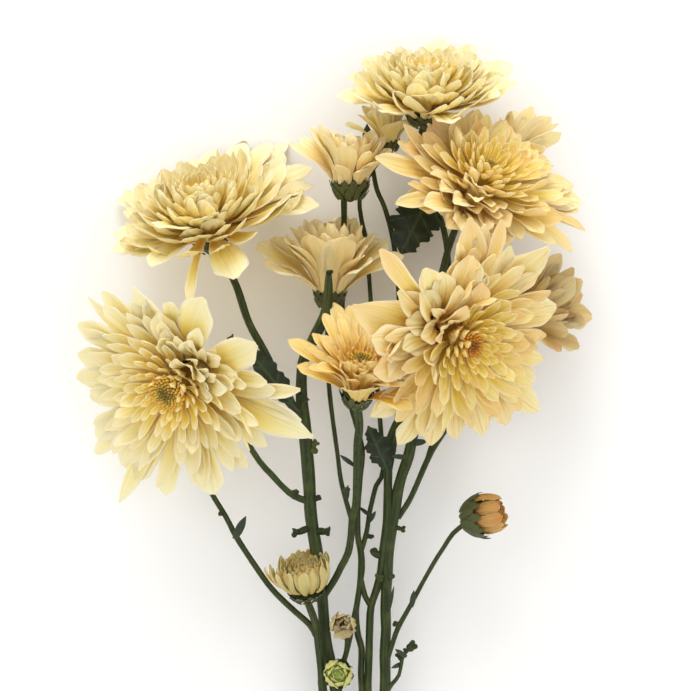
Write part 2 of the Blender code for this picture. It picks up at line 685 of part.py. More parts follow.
def leaf_solid(leaf):
    """A lobed leaf with its blade in thin plates on both sides of the midrib."""
    start, end = seen(*leaf.foot), seen(*leaf.tip)
    along = (end - start).normalized()
    side = Vector((0, 0, 1)).cross(along).normalized()
    face = along.cross(side)
    count = len(leaf.left)
    rings = []
    for k in range(count):
        s = k / (count - 1)
        rib = start + (end - start) * s + face * (leaf.arch * 4 * s * (1 - s))
        left = leaf.left[k] if k < count - 1 else 0.35
        right = leaf.right[k] if k < count - 1 else 0.35
        wave = 0.5 if k % 2 else -0.5
        drop_left = leaf.droop * (left / 8) ** 2 + (wave if 0 < k < count - 1 else 0)
        drop_right = leaf.droop * (right / 8) ** 2 - (wave if 0 < k < count - 1 else 0)
        a = rib + side * left + face * drop_left
        b = rib
        c = rib - side * right + face * drop_right
        thick = face * 0.8
        rings.append([a, b, c, c - thick, b - thick, a - thick])
    points, _ = rings_to_solid(rings)
    faces = []
    for k in range(count - 1):
        m, n = 6 * k, 6 * (k + 1)
        faces += [(m, m + 1, n + 1), (m, n + 1, n), (m + 1, m + 2, n + 2), (m + 1, n + 2, n + 1)]
        faces += [(m + 5, n + 4, m + 4), (m + 5, n + 5, n + 4)]
        faces += [(m + 4, n + 3, m + 3), (m + 4, n + 4, n + 3)]
        faces += [(m, n, n + 5), (m, n + 5, m + 5), (m + 2, m + 3, n + 3), (m + 2, n + 3, n + 2)]
    end_ring = 6 * (count - 1)
    faces += [(0, 5, 4), (0, 4, 1), (1, 4, 3), (1, 3, 2)]
    faces += [(end_ring, end_ring + 1, end_ring + 4), (end_ring, end_ring + 4, end_ring + 5)]
    faces += [(end_ring + 1, end_ring + 2, end_ring + 3), (end_ring + 1, end_ring + 3, end_ring + 4)]
    return points, faces


def fused(name, shapes, finish):
    """One closed object from overlapping shapes, the first of which carries the rest."""
    body = solid(name, *shapes[0])
    group = bpy.data.collections.new(name + "_pieces")
    bpy.context.scene.collection.children.link(group)
    for k, shape in enumerate(shapes[1:]):
        piece = solid(f"{name}_piece_{k}", *shape)
        bpy.context.scene.collection.objects.unlink(piece)
        group.objects.link(piece)
    join = body.modifiers.new("join", "BOOLEAN")
    join.operation = "UNION"
    join.operand_type = "COLLECTION"
    join.collection = group
    join.solver = "EXACT"
    apply_first(body)
    for piece in list(group.objects):
        bpy.data.objects.remove(piece, do_unlink=True)
    bpy.data.collections.remove(group)
    keep_outer_shell(body)
    if min((v.co.z for v in body.data.vertices), default=0.0) < -1e-6:
        trim_to_surface(body)
    body.data.materials.clear()
    body.data.materials.append(finish)
    return body


def apply_first(body):
    """Applies the object's only modifier."""
    bpy.ops.object.select_all(action="DESELECT")
    body.select_set(True)
    bpy.context.view_layer.objects.active = body
    bpy.ops.object.modifier_apply(modifier=body.modifiers[0].name)


def keep_outer_shell(body):
    """Fills sealed hollows and drops loose scraps, by keeping the shell of most volume."""
    work = bmesh.new()
    work.from_mesh(body.data)
    bmesh.ops.remove_doubles(work, verts=work.verts, dist=WELD * MM)
    left = set(work.faces)
    shells = []
    while left:
        shell, open_faces = set(), [left.pop()]
        while open_faces:
            face = open_faces.pop()
            shell.add(face)
            for edge in face.edges:
                for neighbour in edge.link_faces if len(edge.link_faces) == 2 else ():
                    if neighbour in left:
                        left.remove(neighbour)
                        open_faces.append(neighbour)
        volume = 0.0
        for face in shell:
            corners = [v.co for v in face.verts]
            for i in range(1, len(corners) - 1):
                volume += corners[0].dot(corners[i].cross(corners[i + 1])) / 6
        shells.append((volume, shell))
    best = max(shells, key=lambda pair: pair[0])[1]
    extra = [face for _, shell in shells if shell is not best for face in shell]
    bmesh.ops.delete(work, geom=extra, context="FACES")
    bmesh.ops.delete(work, geom=[v for v in work.verts if not v.link_faces], context="VERTS")
    work.to_mesh(body.data)
    work.free()


def trim_to_surface(body):
    """Cuts off what lies under the surface, which leaves small flat spots to rest on."""
    bpy.ops.mesh.primitive_cube_add(size=1.0, location=(0.0, 0.0, -0.05))
    table = bpy.context.object
    table.dimensions = (1.0, 1.0, 0.1)
    bpy.context.view_layer.update()
    cut = body.modifiers.new("cut", "BOOLEAN")
    cut.operation = "DIFFERENCE"
    cut.object = table
    cut.solver = "EXACT"
    apply_first(body)
    bpy.data.objects.remove(table, do_unlink=True)
    keep_outer_shell(body)


def smooth(body, angle):
    """Shades the body smooth, apart from edges that bend by more than this many degrees."""
    body.data.shade_smooth()
    body.data.set_sharp_from_angle(angle=math.radians(angle))


def stem_shapes():
    """Every green piece of the spray: shoots, calyxes, knobs, bracts and leaves."""
    shapes = [tube(shoot_line(knots), STEM_SIDES) for knots in SHOOTS.values()]
    for bloom in BLOOMS:
        seat, up, _, _ = frame_of(bloom)
        shapes.append(turned(cup_profile(bloom), seat, up, CUP_SIDES))
    for column, row, height, radius, wide, tall in KNOBS:
        points, faces = turned(
            ((0, -radius), (radius * 0.8, -radius * 0.6), (radius * 0.8, radius * 0.6), (0, radius)),
            Vector((0, 0, 0)), (0, 0, 1), 6,
        )
        centre = seen(column, row, height)
        points = [centre + Vector((p.x * wide, p.y * tall, p.z)) for p in points]
        shapes.append((points, faces))
    shapes += [bract_solid(*bract) for bract in BRACTS]
    shapes += [leaf_solid(leaf) for leaf in LEAVES]
    return shapes


def main():
    """Builds the green stems, then each flower head clear of all that stands before it."""
    clear_scene()
    finishes = {
        "green": material("stem_green", (0.090, 0.120, 0.045), 0.55),
        "cream": material("petal_cream", (0.870, 0.740, 0.420), 0.50),
        "peach": material("petal_peach", (0.860, 0.600, 0.300), 0.50),
        "bud": material("petal_bud", (0.600, 0.500, 0.200), 0.55),
    }
    shapes = stem_shapes()
    trees = [BVHTree.FromPolygons(points, faces) for points, faces in shapes]
    stems = fused("leafy_stems", shapes, finishes["green"])
    smooth(stems, 50)
    cores = {
        bloom.name: turned(core_profile(bloom), seen(*bloom.seat), bloom.axis, CUP_SIDES, 0.5)
        for bloom in BLOOMS
    }
    for bloom in BLOOMS:
        other_cores = [
            BVHTree.FromPolygons(*core) for name, core in cores.items() if name != bloom.name
        ]
        bent = [
            bent_clear(bloom, petal, trees + other_cores)
            for petal in petals_of(bloom, bloom.petals)
        ]
        blades = [blade(bloom, petal) for petal in bent if petal is not None]
        made = fused(bloom.name, [cores[bloom.name]] + blades, finishes[bloom.color])
        smooth(made, 40)
        trees += [BVHTree.FromPolygons(points, faces) for points, faces in blades]
        trees.append(BVHTree.FromPolygons(*cores[bloom.name]))


main()
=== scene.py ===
"""Looks of a cut spray chrysanthemum: petals, disc florets, calyxes, stems and leaves.

The spray lies on its back on a pale surface. +X is to its right, +Y runs from the cut end to the top
flower and +Z is up. Plan positions are columns and rows of a picture taken from straight above, each
with a height over the surface in millimetres, as in the solids that these pieces dress.
"""

import logging
import math
import random
from dataclasses import dataclass, field, replace
from enum import Enum

import bpy
import numpy as np
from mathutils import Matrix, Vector

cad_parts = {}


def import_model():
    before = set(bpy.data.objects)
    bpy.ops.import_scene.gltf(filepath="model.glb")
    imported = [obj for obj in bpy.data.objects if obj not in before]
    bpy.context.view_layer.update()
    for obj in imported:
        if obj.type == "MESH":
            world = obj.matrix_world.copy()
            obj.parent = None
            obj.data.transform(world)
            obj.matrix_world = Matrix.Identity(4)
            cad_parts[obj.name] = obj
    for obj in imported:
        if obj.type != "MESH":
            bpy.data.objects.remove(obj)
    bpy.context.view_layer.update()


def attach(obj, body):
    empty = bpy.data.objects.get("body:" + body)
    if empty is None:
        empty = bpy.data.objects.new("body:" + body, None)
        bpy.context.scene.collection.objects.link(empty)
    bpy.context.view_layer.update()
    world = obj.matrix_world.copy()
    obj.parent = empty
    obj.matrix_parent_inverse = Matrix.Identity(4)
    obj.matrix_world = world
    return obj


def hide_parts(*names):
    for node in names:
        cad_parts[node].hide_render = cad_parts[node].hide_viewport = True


LOG = logging.getLogger("spray")
MM = 0.001

# The picture: an eye this high over the surface, and this many columns to the unit of distance.
EYE_HEIGHT = 1000.0
PICTURE_REACH = 2700.0
PICTURE_WIDTH = 699
MIDDLE_COLUMN, MIDDLE_ROW = 349.5, 345.5
MIDDLE_X, MIDDLE_Y = 5.1, 71.7
SENSOR_WIDTH = 36.0

GOLDEN_TURN = math.radians(137.508)
UP = np.array([0.0, 0.0, 1.0])


def seen(column: float, row: float, height: float) -> np.ndarray:
    """The point at a column and row of the picture and at a height.

    Args:
        column: Column of the picture.
        row: Row of the picture.
        height: Height over the surface, in millimetres.

    Returns:
        The point, in millimetres.
    """
    per_column = (EYE_HEIGHT - height) / PICTURE_REACH
    return np.array([
        MIDDLE_X + (column - MIDDLE_COLUMN) * per_column,
        MIDDLE_Y + (MIDDLE_ROW - row) * per_column,
        height,
    ])


def unit(vector: np.ndarray) -> np.ndarray:
    """The vector at length one."""
    return vector / np.linalg.norm(vector)


def about(vector: np.ndarray, axis: np.ndarray, angle: np.ndarray) -> np.ndarray:
    """A vector turned about an axis.

    Args:
        vector: The vector, or one in each row.
        axis: The unit axis, or one in each row.
        angle: The turn in radians, or one for each row.

    Returns:
        The turned vectors, one in each row.
    """
    angle = np.asarray(angle)[..., None]
    along = np.sum(vector * axis, axis=-1, keepdims=True)
    return (
        vector * np.cos(angle) + np.cross(axis, vector) * np.sin(angle)
        + axis * along * (1 - np.cos(angle))
    )


def eased(value: np.ndarray) -> np.ndarray:
    """A share from 0 to 1 with a soft start and end."""
    value = np.clip(value, 0.0, 1.0)
    return value * value * (3 - 2 * value)


def linear(color: str) -> tuple[float, float, float, float]:
    """An sRGB hex colour as the linear colour that a shader takes.

    Args:
        color: Six hex digits.

    Returns:
        Red, green, blue and alpha.
    """
    parts = [int(color[k:k + 2], 16) / 255 for k in (0, 2, 4)]
    turned = [p / 12.92 if p <= 0.04045 else ((p + 0.055) / 1.055) ** 2.4 for p in parts]
    return (*turned, 1.0)


def feed(tree: bpy.types.NodeTree, node: bpy.types.Node, inputs: dict) -> None:
    """Gives inputs of a node their values, or links them to the sockets that feed them.

    Args:
        tree: The node tree.
        node: The node.
        inputs: Input name or number to a value, or to the socket that feeds it.
    """
    for name, value in inputs.items():
        if isinstance(value, bpy.types.NodeSocket):
            tree.links.new(value, node.inputs[name])
        else:
            node.inputs[name].default_value = value


def add_node(tree: bpy.types.NodeTree, kind: str, inputs: dict | None = None, **settings) -> bpy.types.Node:
    """Adds a node with its settings and links.

    Args:
        tree: The node tree.
        kind: The node's type.
        inputs: Input name or number to a value, or to the socket that feeds it.
        **settings: Properties of the node.

    Returns:
        The node.
    """
    made = tree.nodes.new(kind)
    for name, value in settings.items():
        setattr(made, name, value)
    feed(tree, made, inputs or {})
    return made


def bare_skin(name: str) -> tuple[bpy.types.Material, bpy.types.NodeTree, bpy.types.Node]:
    """Adds a material with nothing set yet.

    Args:
        name: What the material is.

    Returns:
        The material, its node tree and its shader.
    """
    made = bpy.data.materials.new(name)
    made.use_nodes = True
    return made, made.node_tree, made.node_tree.nodes["Principled BSDF"]


def read_marks(tree: bpy.types.NodeTree) -> tuple:
    """The sockets of the three marks that every mesh here carries."""
    mark = add_node(tree, "ShaderNodeAttribute", attribute_name="mark").outputs["Color"]
    return tuple(add_node(tree, "ShaderNodeSeparateColor", {0: mark}).outputs)


@dataclass(frozen=True)
class Coat:
    """A colour laid over those before it, and more of it as a value goes from low to high.

    most is its share at high. It comes in with a soft start and end, unless it is even.
    """

    value: bpy.types.NodeSocket
    low: float
    high: float
    most: float
    color: str
    even: bool = False


def painted(tree: bpy.types.NodeTree, first: str, coats: tuple) -> bpy.types.NodeSocket:
    """Lays coats of colour over a first colour.

    Args:
        tree: The node tree.
        first: The first colour, six hex digits.
        coats: The coats, from the lowest up.

    Returns:
        The socket of the colour.
    """
    color = linear(first)
    for coat in coats:
        share = add_node(
            tree, "ShaderNodeMapRange",
            {"Value": coat.value, "From Min": coat.low, "From Max": coat.high, "To Max": coat.most},
            interpolation_type="LINEAR" if coat.even else "SMOOTHSTEP",
        ).outputs["Result"]
        color = add_node(
            tree, "ShaderNodeMix", {0: share, 6: color, 7: linear(coat.color)},
            data_type="RGBA", clamp_factor=True,
        ).outputs[2]
    return color


def above_surface(points: np.ndarray) -> np.ndarray:
    """Presses what would lie on the surface or under it flat, just above it.

    Args:
        points: A point in each row, in millimetres.

    Returns:
        The points, with those near the surface pressed.
    """
    low, soft = 0.1, 0.5
    height = points[:, 2]
    pressed = low + soft * np.exp(np.minimum(height - low - soft, 0.0) / soft)
    lifted = points.copy()
    lifted[:, 2] = np.where(height < low + soft, pressed, height)
    return lifted


def modelled() -> tuple[np.ndarray, np.ndarray]:
    """Takes the points and faces of the active object, and removes it.

    Returns:
        A point in each row, and four point numbers in each row, the last of them -1 in a triangle.
    """
    made = bpy.context.object
    points = np.zeros(len(made.data.vertices) * 3)
    made.data.vertices.foreach_get("co", points)
    faces = [(list(face.vertices) + [-1])[:4] for face in made.data.polygons]
    bpy.data.objects.remove(made)
    return points.reshape(-1, 3), np.array(faces)


@dataclass
class Shape:
    """A mesh in the making, in millimetres."""

    points: list = field(default_factory=list)
    faces: list = field(default_factory=list)
    places: list = field(default_factory=list)
    marks: list = field(default_factory=list)
    count: int = 0

    def add(self, points: np.ndarray, faces: np.ndarray, places: np.ndarray, marks: np.ndarray) -> None:
        """Adds points and faces.

        Args:
            points: A point in each row.
            faces: Four point numbers in each row, the last of them -1 in a triangle.
            places: Each point's place on its surface, two numbers.
            marks: Each point's mark, three numbers from 0 to 1.
        """
        self.points.append(above_surface(points))
        self.faces.append(np.where(faces < 0, -1, faces + self.count))
        self.places.append(places)
        self.marks.append(marks)
        self.count += len(points)

    def piece(self, name: str, finish: bpy.types.Material, sharp: float = 60.0) -> bpy.types.Object:
        """The finished object, smooth apart from its sharp edges.

        Args:
            name: The piece's name.
            finish: Its material.
            sharp: Edges that bend by more than this many degrees stay sharp.

        Returns:
            The object.
        """
        mesh = bpy.data.meshes.new(name)
        points = np.concatenate(self.points) * MM
        faces = []
        for four in np.concatenate(self.faces).tolist():
            faces.append(four if four[3] >= 0 else four[:3])
        mesh.from_pydata(points.tolist(), [], faces)
        corners = np.zeros(len(mesh.loops), np.int32)
        mesh.loops.foreach_get("vertex_index", corners)
        places = np.concatenate(self.places)[corners]
        mesh.uv_layers.new(name="surface").data.foreach_set("uv", places.astype(np.float32).ravel())
        marks = np.concatenate(self.marks)
        marks = np.concatenate([marks, np.ones((len(marks), 1))], axis=1)
        layer = mesh.color_attributes.new("mark", "FLOAT_COLOR", "POINT")
        layer.data.foreach_set("color", marks.astype(np.float32).ravel())
        mesh.shade_smooth()
        mesh.set_sharp_from_angle(angle=math.radians(sharp))
        mesh.materials.append(finish)
        made = bpy.data.objects.new(name, mesh)
        bpy.context.scene.collection.objects.link(made)
        return made


class Sheet:
    """A flat thin sheet that is modelled once and laid out as every blade of its kind.

    x runs from -1 to 1 across it, v from 0 to 1 along it, and top is 1 above and -1 below.
    """

    def __init__(self, across: int, along: int) -> None:
        """Models the sheet with a grid and a Solidify modifier.

        Args:
            across: Cells across it.
            along: Cells along it.
        """
        bpy.ops.object.select_all(action="DESELECT")
        bpy.ops.mesh.primitive_grid_add(x_subdivisions=across, y_subdivisions=along, size=2)
        thick = bpy.context.object.modifiers.new("thickness", "SOLIDIFY")
        thick.thickness = 1.0
        thick.offset = 0.0
        bpy.ops.object.modifier_apply(modifier=thick.name)
        points, self.faces = modelled()
        self.x = points[:, 0]
        self.v = (points[:, 1] + 1) / 2
        self.top = np.where(points[:, 2] > 0, 1.0, -1.0)


class Ball:
    """A small ball that is modelled once and laid out as every floret, knob and mound."""

    def __init__(self, segments: int, rings: int) -> None:
        """Models the ball.

        Args:
            segments: Its faces round the middle.
            rings: Its faces from pole to pole.
        """
        bpy.ops.object.select_all(action="DESELECT")
        bpy.ops.mesh.primitive_uv_sphere_add(segments=segments, ring_count=rings, radius=1.0)
        self.points, self.faces = modelled()

    def lay(self, centre: np.ndarray, axis: np.ndarray, wide: float, tall: float, mark: tuple, into: Shape,
            flare: float = 0.0) -> None:
        """Lays a copy out, stretched along an axis.

        Args:
            centre: The middle of the copy.
            axis: The direction of its poles.
            wide: Its radius.
            tall: Half its height along the axis.
            mark: Its mark, three numbers.
            into: The mesh that takes it.
            flare: How much wider it is towards its top.
        """
        up = unit(axis)
        across = unit(np.cross(up, (0.31, 0.90, 0.29)))
        other = np.cross(up, across)
        high = self.points[:, 2:3]
        radius = wide * (1 + flare * high)
        points = centre + (
            across * self.points[:, 0:1] * radius + other * self.points[:, 1:2] * radius + up * high * tall
        )
        places = np.stack([self.points[:, 0], (high[:, 0] + 1) / 2], axis=1)
        into.add(points, self.faces, places, np.tile(np.array(mark, float), (len(points), 1)))


# How deep the ridges along a blade are beside its width, how much thinner its skin is at its rims and
# at its tip, from where its tip curls, and how far the rims and the teeth of its tip are drawn back.
RIDGE_DEPTH = 0.045
RIM_THINNING, TIP_THINNING = 0.6, 0.5
CURL_FROM = 0.62
RIM_NOTCH, TOOTH_NOTCH = 0.20, 0.06


@dataclass(frozen=True)
class Blade:
    """One petal, bract or scale: its midline and its section, in its flower's own frame.

    root and tip are distance from the axis and height over the seat. start and finish are the
    midline's slopes in degrees. roll and open are how far the section is rolled at the root and at
    the tip, in degrees of arc, and point goes from 0 for a round tip to 1 for a pointed one.

    twist is how many degrees it turns along its length, sway how far it bows sideways and curl how
    far its tip rises, beside its length. base is its width at the root and ruffle the depth of its
    folds, beside its width. thick is its thickness, and depth and chance are its first two marks:
    how far out in the flower it grows, and a number of its own.
    """

    turn: float
    root: tuple[float, float]
    tip: tuple[float, float]
    start: float
    finish: float
    width: float
    roll: float = 90.0
    open: float = 40.0
    twist: float = 0.0
    sway: float = 0.0
    point: float = 0.3
    base: float = 0.32
    curl: float = 0.0
    ruffle: float = 0.0
    thick: float = 0.42
    depth: float = 1.0
    chance: float = 0.5

    def midline(self, frame: tuple, v: np.ndarray) -> tuple:
        """The blade's midline, a smooth curve from its root to its tip.

        Args:
            frame: The flower's seat, axis and the two directions across it.
            v: How far along the blade each point is, from 0 to 1.

        Returns:
            The points, the directions along and across the blade there, and its length.
        """
        seat, up, across, other = frame
        out = across * math.cos(self.turn) + other * math.sin(self.turn)
        beside = np.cross(up, out)
        root = seat + out * self.root[0] + up * self.root[1]
        tip = seat + out * self.tip[0] + up * self.tip[1]
        length = float(np.linalg.norm(tip - root))
        leave, arrive = (
            (out * math.cos(math.radians(a)) + up * math.sin(math.radians(a))) * length
            for a in (self.start, self.finish)
        )
        s = v[:, None]
        line = (
            root * (2 * s ** 3 - 3 * s ** 2 + 1) + leave * (s ** 3 - 2 * s ** 2 + s)
            + tip * (3 * s ** 2 - 2 * s ** 3) + arrive * (s ** 3 - s ** 2)
        )
        line = line + beside * (self.sway * length * 4 * s * (1 - s))
        along = (
            (tip - root) * (6 * s - 6 * s ** 2) + leave * (3 * s ** 2 - 4 * s + 1)
            + arrive * (3 * s ** 2 - 2 * s) + beside * (self.sway * length * 4 * (1 - 2 * s))
        )
        along = along / np.linalg.norm(along, axis=1, keepdims=True)
        side = about(np.broadcast_to(-beside, along.shape), along, math.radians(self.twist) * v)
        side = side - along * np.sum(side * along, axis=1, keepdims=True)
        side = side / np.linalg.norm(side, axis=1, keepdims=True)
        return line, along, side, length

    def widths(self, v: np.ndarray) -> np.ndarray:
        """How wide the blade is along it: narrow at its root, and round or pointed at its tip.

        Args:
            v: How far along the blade each point is, from 0 to 1.

        Returns:
            The width at each point, in millimetres.
        """
        widest = 0.84 - 0.34 * self.point
        body = self.base + (1 - self.base) * eased(v / (widest - 0.12))
        past = np.clip((v - widest) / (1 - widest), 0, 1)
        body = body * (1 - past ** (2.6 - 0.9 * self.point)) ** (0.45 + 0.38 * self.point)
        return self.width * np.maximum(body, 0.30 - 0.20 * self.point)

    def lay(self, frame: tuple, sheet: Sheet, into: Shape) -> None:
        """Lays a copy of the sheet out as this blade.

        Args:
            frame: The flower's seat, axis and the two directions across it.
            sheet: The flat sheet.
            into: The mesh that takes the blade.
        """
        # The sheet's rows lie closer together towards the tip, where the outline turns.
        v, x = 1 - (1 - sheet.v) ** 1.6, sheet.x
        line, along, side, length = self.midline(frame, v)
        face = np.cross(side, along)
        wide = self.widths(v)
        arc = np.radians(self.roll + (self.open - self.roll) * eased(v * 1.15))
        arc = np.where(np.abs(arc) < 0.02, 0.02, arc)
        bend = x * arc / 2
        radius = wide / arc
        normal = face * np.cos(bend)[:, None] - side * np.sin(bend)[:, None]
        # Ridges run along the blade, folds cross them, and the skin thins to the rims and the tip.
        ridges = RIDGE_DEPTH * wide * np.cos(3 * math.pi * x) * (v * (1 - v) * 4) ** 0.5
        phase = 12 * self.chance
        waves = wide * v * (
            self.ruffle * x * x * np.sin(9 * v + 2.4 * x + phase)
            + 0.5 * self.ruffle * np.sin(15 * v + phase) * np.cos(2.2 * x + phase)
        )
        skin = self.thick * (1 - RIM_THINNING * x * x) * (1 - TIP_THINNING * v) / 2
        curl = self.curl * length * np.clip(v - CURL_FROM, 0, 1) ** 2 * 2.2
        notch = wide * v ** 8 * (RIM_NOTCH * x * x + TOOTH_NOTCH * np.cos(2 * math.pi * x))
        points = (
            line + side * (radius * np.sin(bend))[:, None]
            + face * (radius * (1 - np.cos(bend)) + curl)[:, None]
            + normal * (ridges + waves + skin * sheet.top)[:, None] - along * notch[:, None]
        )
        places = np.stack([(x + 1) / 2, v], axis=1)
        marks = np.stack([
            np.full(len(x), self.depth), np.full(len(x), self.chance), (1 - sheet.top) / 2,
        ], axis=1)
        into.add(points, sheet.faces, places, marks)


class Disc(Enum):
    """The finishes of the disc florets."""

    GOLDEN = "golden"
    RUSTY = "rusty"
    GREEN = "green"
    LIME = "lime"
    BROWN = "brown"


class Tint(Enum):
    """The petal finishes of the spray."""

    CREAM = "cream"
    PEACH = "peach"
    GOLD = "gold"
    PALE = "pale"
    FADED = "faded"
    AMBER = "amber"
    BUD = "bud"
    LIME = "lime"
    DULL = "dull"


@dataclass(frozen=True)
class PetalFinish:
    """Fresh chrysanthemum petal: thin wet tissue under a matt waxy skin, lit through from behind.

    The eye gets a soft satin cream. root, body and
    tip are the colours along an outer petal, heart that of the inner petals out to the share golden
    of the flower, vein and back those of its fine lines and its underside, and blush that of its
    faded tips. The golden root and heart are partly the petals' own yellow base and partly painted
    golden shade where petals shade each other, and the pale rims are partly a painted highlight.
    blushing and veined are the shares of blush and of lines, and faded that of the tip's
    colour at the very tip.
    """

    name: str
    root: str
    body: str
    tip: str
    heart: str
    vein: str
    back: str
    blush: str
    blushing: float = 0.3
    veined: float = 0.35
    golden: float = 0.60
    faded: float = 0.65

    def material(self) -> bpy.types.Material:
        """Builds the petal material.

        Returns:
            The material.
        """
        made, tree, shader = bare_skin(f"petal_skin_{self.name}")
        place = add_node(tree, "ShaderNodeUVMap", uv_map="surface").outputs["UV"]
        across, along = add_node(tree, "ShaderNodeSeparateXYZ", {0: place}).outputs[:2]
        depth, chance, under = read_marks(tree)
        grain = self.fine_lines(tree, place, chance)
        rim = add_node(tree, "ShaderNodeMath", {0: across, 1: 0.5}, operation="SUBTRACT").outputs[0]
        rim = add_node(tree, "ShaderNodeMath", {0: rim}, operation="ABSOLUTE").outputs[0]
        # Only the ends of some petals blush.
        worn = 1.0
        for value, low in ((along, 0.55), (chance, 0.35)):
            share = add_node(
                tree, "ShaderNodeMapRange", {"Value": value, "From Min": low},
                interpolation_type="SMOOTHSTEP",
            ).outputs["Result"]
            worn = add_node(tree, "ShaderNodeMath", {0: worn, 1: share}, operation="MULTIPLY").outputs[0]
        # The golden root and the golden heart of the inner petals are partly the petals' own yellower base
        # and partly painted golden shade where the petals overlap and shade each other.
        color = painted(tree, self.root, (
            Coat(along, 0.15, 0.72, 1.0, self.body),
            Coat(depth, 0.94, 1.0, 0.6, self.body),
            Coat(depth, self.golden, 0.1, 0.85, self.heart),
            Coat(along, 0.55, 1.0, self.faded, self.tip),
            Coat(grain, 0.50, 0.68, self.veined, self.vein),
            Coat(grain, 0.46, 0.30, self.veined, self.tip),
            # Painted highlight: the rims take the pale tip colour, partly the paler thin edge and partly
            # light shining through it.
            Coat(rim, 0.34, 0.5, 0.55, self.tip),
            Coat(under, 0.0, 1.0, 0.45, self.back, even=True),
            Coat(worn, 0.0, 1.0, self.blushing, self.blush, even=True),
        ))
        bump = add_node(
            tree, "ShaderNodeBump", {"Strength": 0.45, "Distance": 0.0004, "Height": grain}
        ).outputs[0]
        # Light enters the tissue and spreads about a millimetre, the red of it furthest.
        feed(tree, shader, {
            "Base Color": color, "Normal": bump, "Roughness": 0.52, "Specular IOR Level": 0.35,
            "Subsurface Weight": 0.42, "Subsurface Radius": (1.0, 0.80, 0.50), "Subsurface Scale": 0.0013,
        })
        return made

    def fine_lines(
        self, tree: bpy.types.NodeTree, place: bpy.types.NodeSocket, chance: bpy.types.NodeSocket,
    ) -> bpy.types.NodeSocket:
        """The fine lines that run along a petal, about 25 of them in a width of 9 mm.

        Args:
            tree: The node tree.
            place: The place on the petal.
            chance: The petal's own number, which gives it lines of its own.

        Returns:
            The socket of a value from 0 to 1 that rises and falls across the petal.
        """
        # The noise is finer across the petal than along it, and each petal reads a part of its own.
        squeezed, apart = (11.0, 0.9, 1.0), (40.0, 40.0, 40.0)
        shift = add_node(tree, "ShaderNodeCombineXYZ", {1: chance, 2: chance}).outputs[0]
        stretched = add_node(
            tree, "ShaderNodeVectorMath", {0: place, 1: squeezed}, operation="MULTIPLY"
        ).outputs[0]
        moved = add_node(
            tree, "ShaderNodeVectorMath", {0: shift, 1: apart, 2: stretched}, operation="MULTIPLY_ADD"
        ).outputs[0]
        lines = add_node(tree, "ShaderNodeTexNoise", {"Vector": moved, "Scale": 1.6, "Detail": 3.0})
        return lines.outputs["Fac"]


@dataclass(frozen=True)
class GreenFinish:
    """Green plant skin: waxy and finely ribbed, so it has a dull satin shine along its ribs.

    dark and light are the colours of its furrows and ribs, worn is that of old patches and of cut
    ends, and patches is the share of it in the patches.
    """

    name: str
    dark: str
    light: str
    worn: str
    roughness: float = 0.48
    patches: float = 0.35

    def material(self) -> bpy.types.Material:
        """Builds the green material.

        Returns:
            The material.
        """
        made, tree, shader = bare_skin(f"green_skin_{self.name}")
        place = add_node(tree, "ShaderNodeTexCoord").outputs["Object"]
        ridge, _, cut = read_marks(tree)
        # Streaks 0.6 mm wide and about 8 mm long, the way the stems run.
        streaked = (1600.0, 120.0, 1600.0)
        long = add_node(
            tree, "ShaderNodeVectorMath", {0: place, 1: streaked}, operation="MULTIPLY"
        ).outputs[0]
        streaks = add_node(tree, "ShaderNodeTexNoise", {"Vector": long, "Scale": 1.0, "Detail": 3.0})
        streaks = streaks.outputs["Fac"]
        # Patches about 7 mm across.
        spots = add_node(tree, "ShaderNodeTexNoise", {"Vector": place, "Scale": 140.0, "Detail": 4.0})
        ribs = add_node(tree, "ShaderNodeMath", {0: ridge, 1: streaks}, operation="ADD").outputs[0]
        color = painted(tree, self.dark, (
            Coat(ribs, 0.45, 1.25, 1.0, self.light),
            Coat(spots.outputs["Fac"], 0.50, 0.72, self.patches, self.worn),
            Coat(cut, 0.0, 1.0, 1.0, self.worn, even=True),
        ))
        bump = add_node(
            tree, "ShaderNodeBump", {"Strength": 0.45, "Distance": 0.0003, "Height": streaks}
        ).outputs[0]
        feed(tree, shader, {
            "Base Color": color, "Normal": bump, "Roughness": self.roughness, "Specular IOR Level": 0.3,
        })
        return made


@dataclass(frozen=True)
class FloretFinish:
    """Disc florets: tiny moist tubes, golden where they have opened and dark where they have not."""

    name: str
    open: str
    shut: str

    def material(self) -> bpy.types.Material:
        """Builds the floret material.

        Returns:
            The material.
        """
        made, tree, shader = bare_skin(f"disc_floret_{self.name}")
        opened = read_marks(tree)[0]
        feed(tree, shader, {
            "Base Color": painted(tree, self.shut, (Coat(opened, 0.0, 1.0, 1.0, self.open, even=True),)),
            "Roughness": 0.42, "Subsurface Weight": 0.15, "Subsurface Radius": (1.0, 0.6, 0.2),
            "Subsurface Scale": 0.0006,
        })
        return made


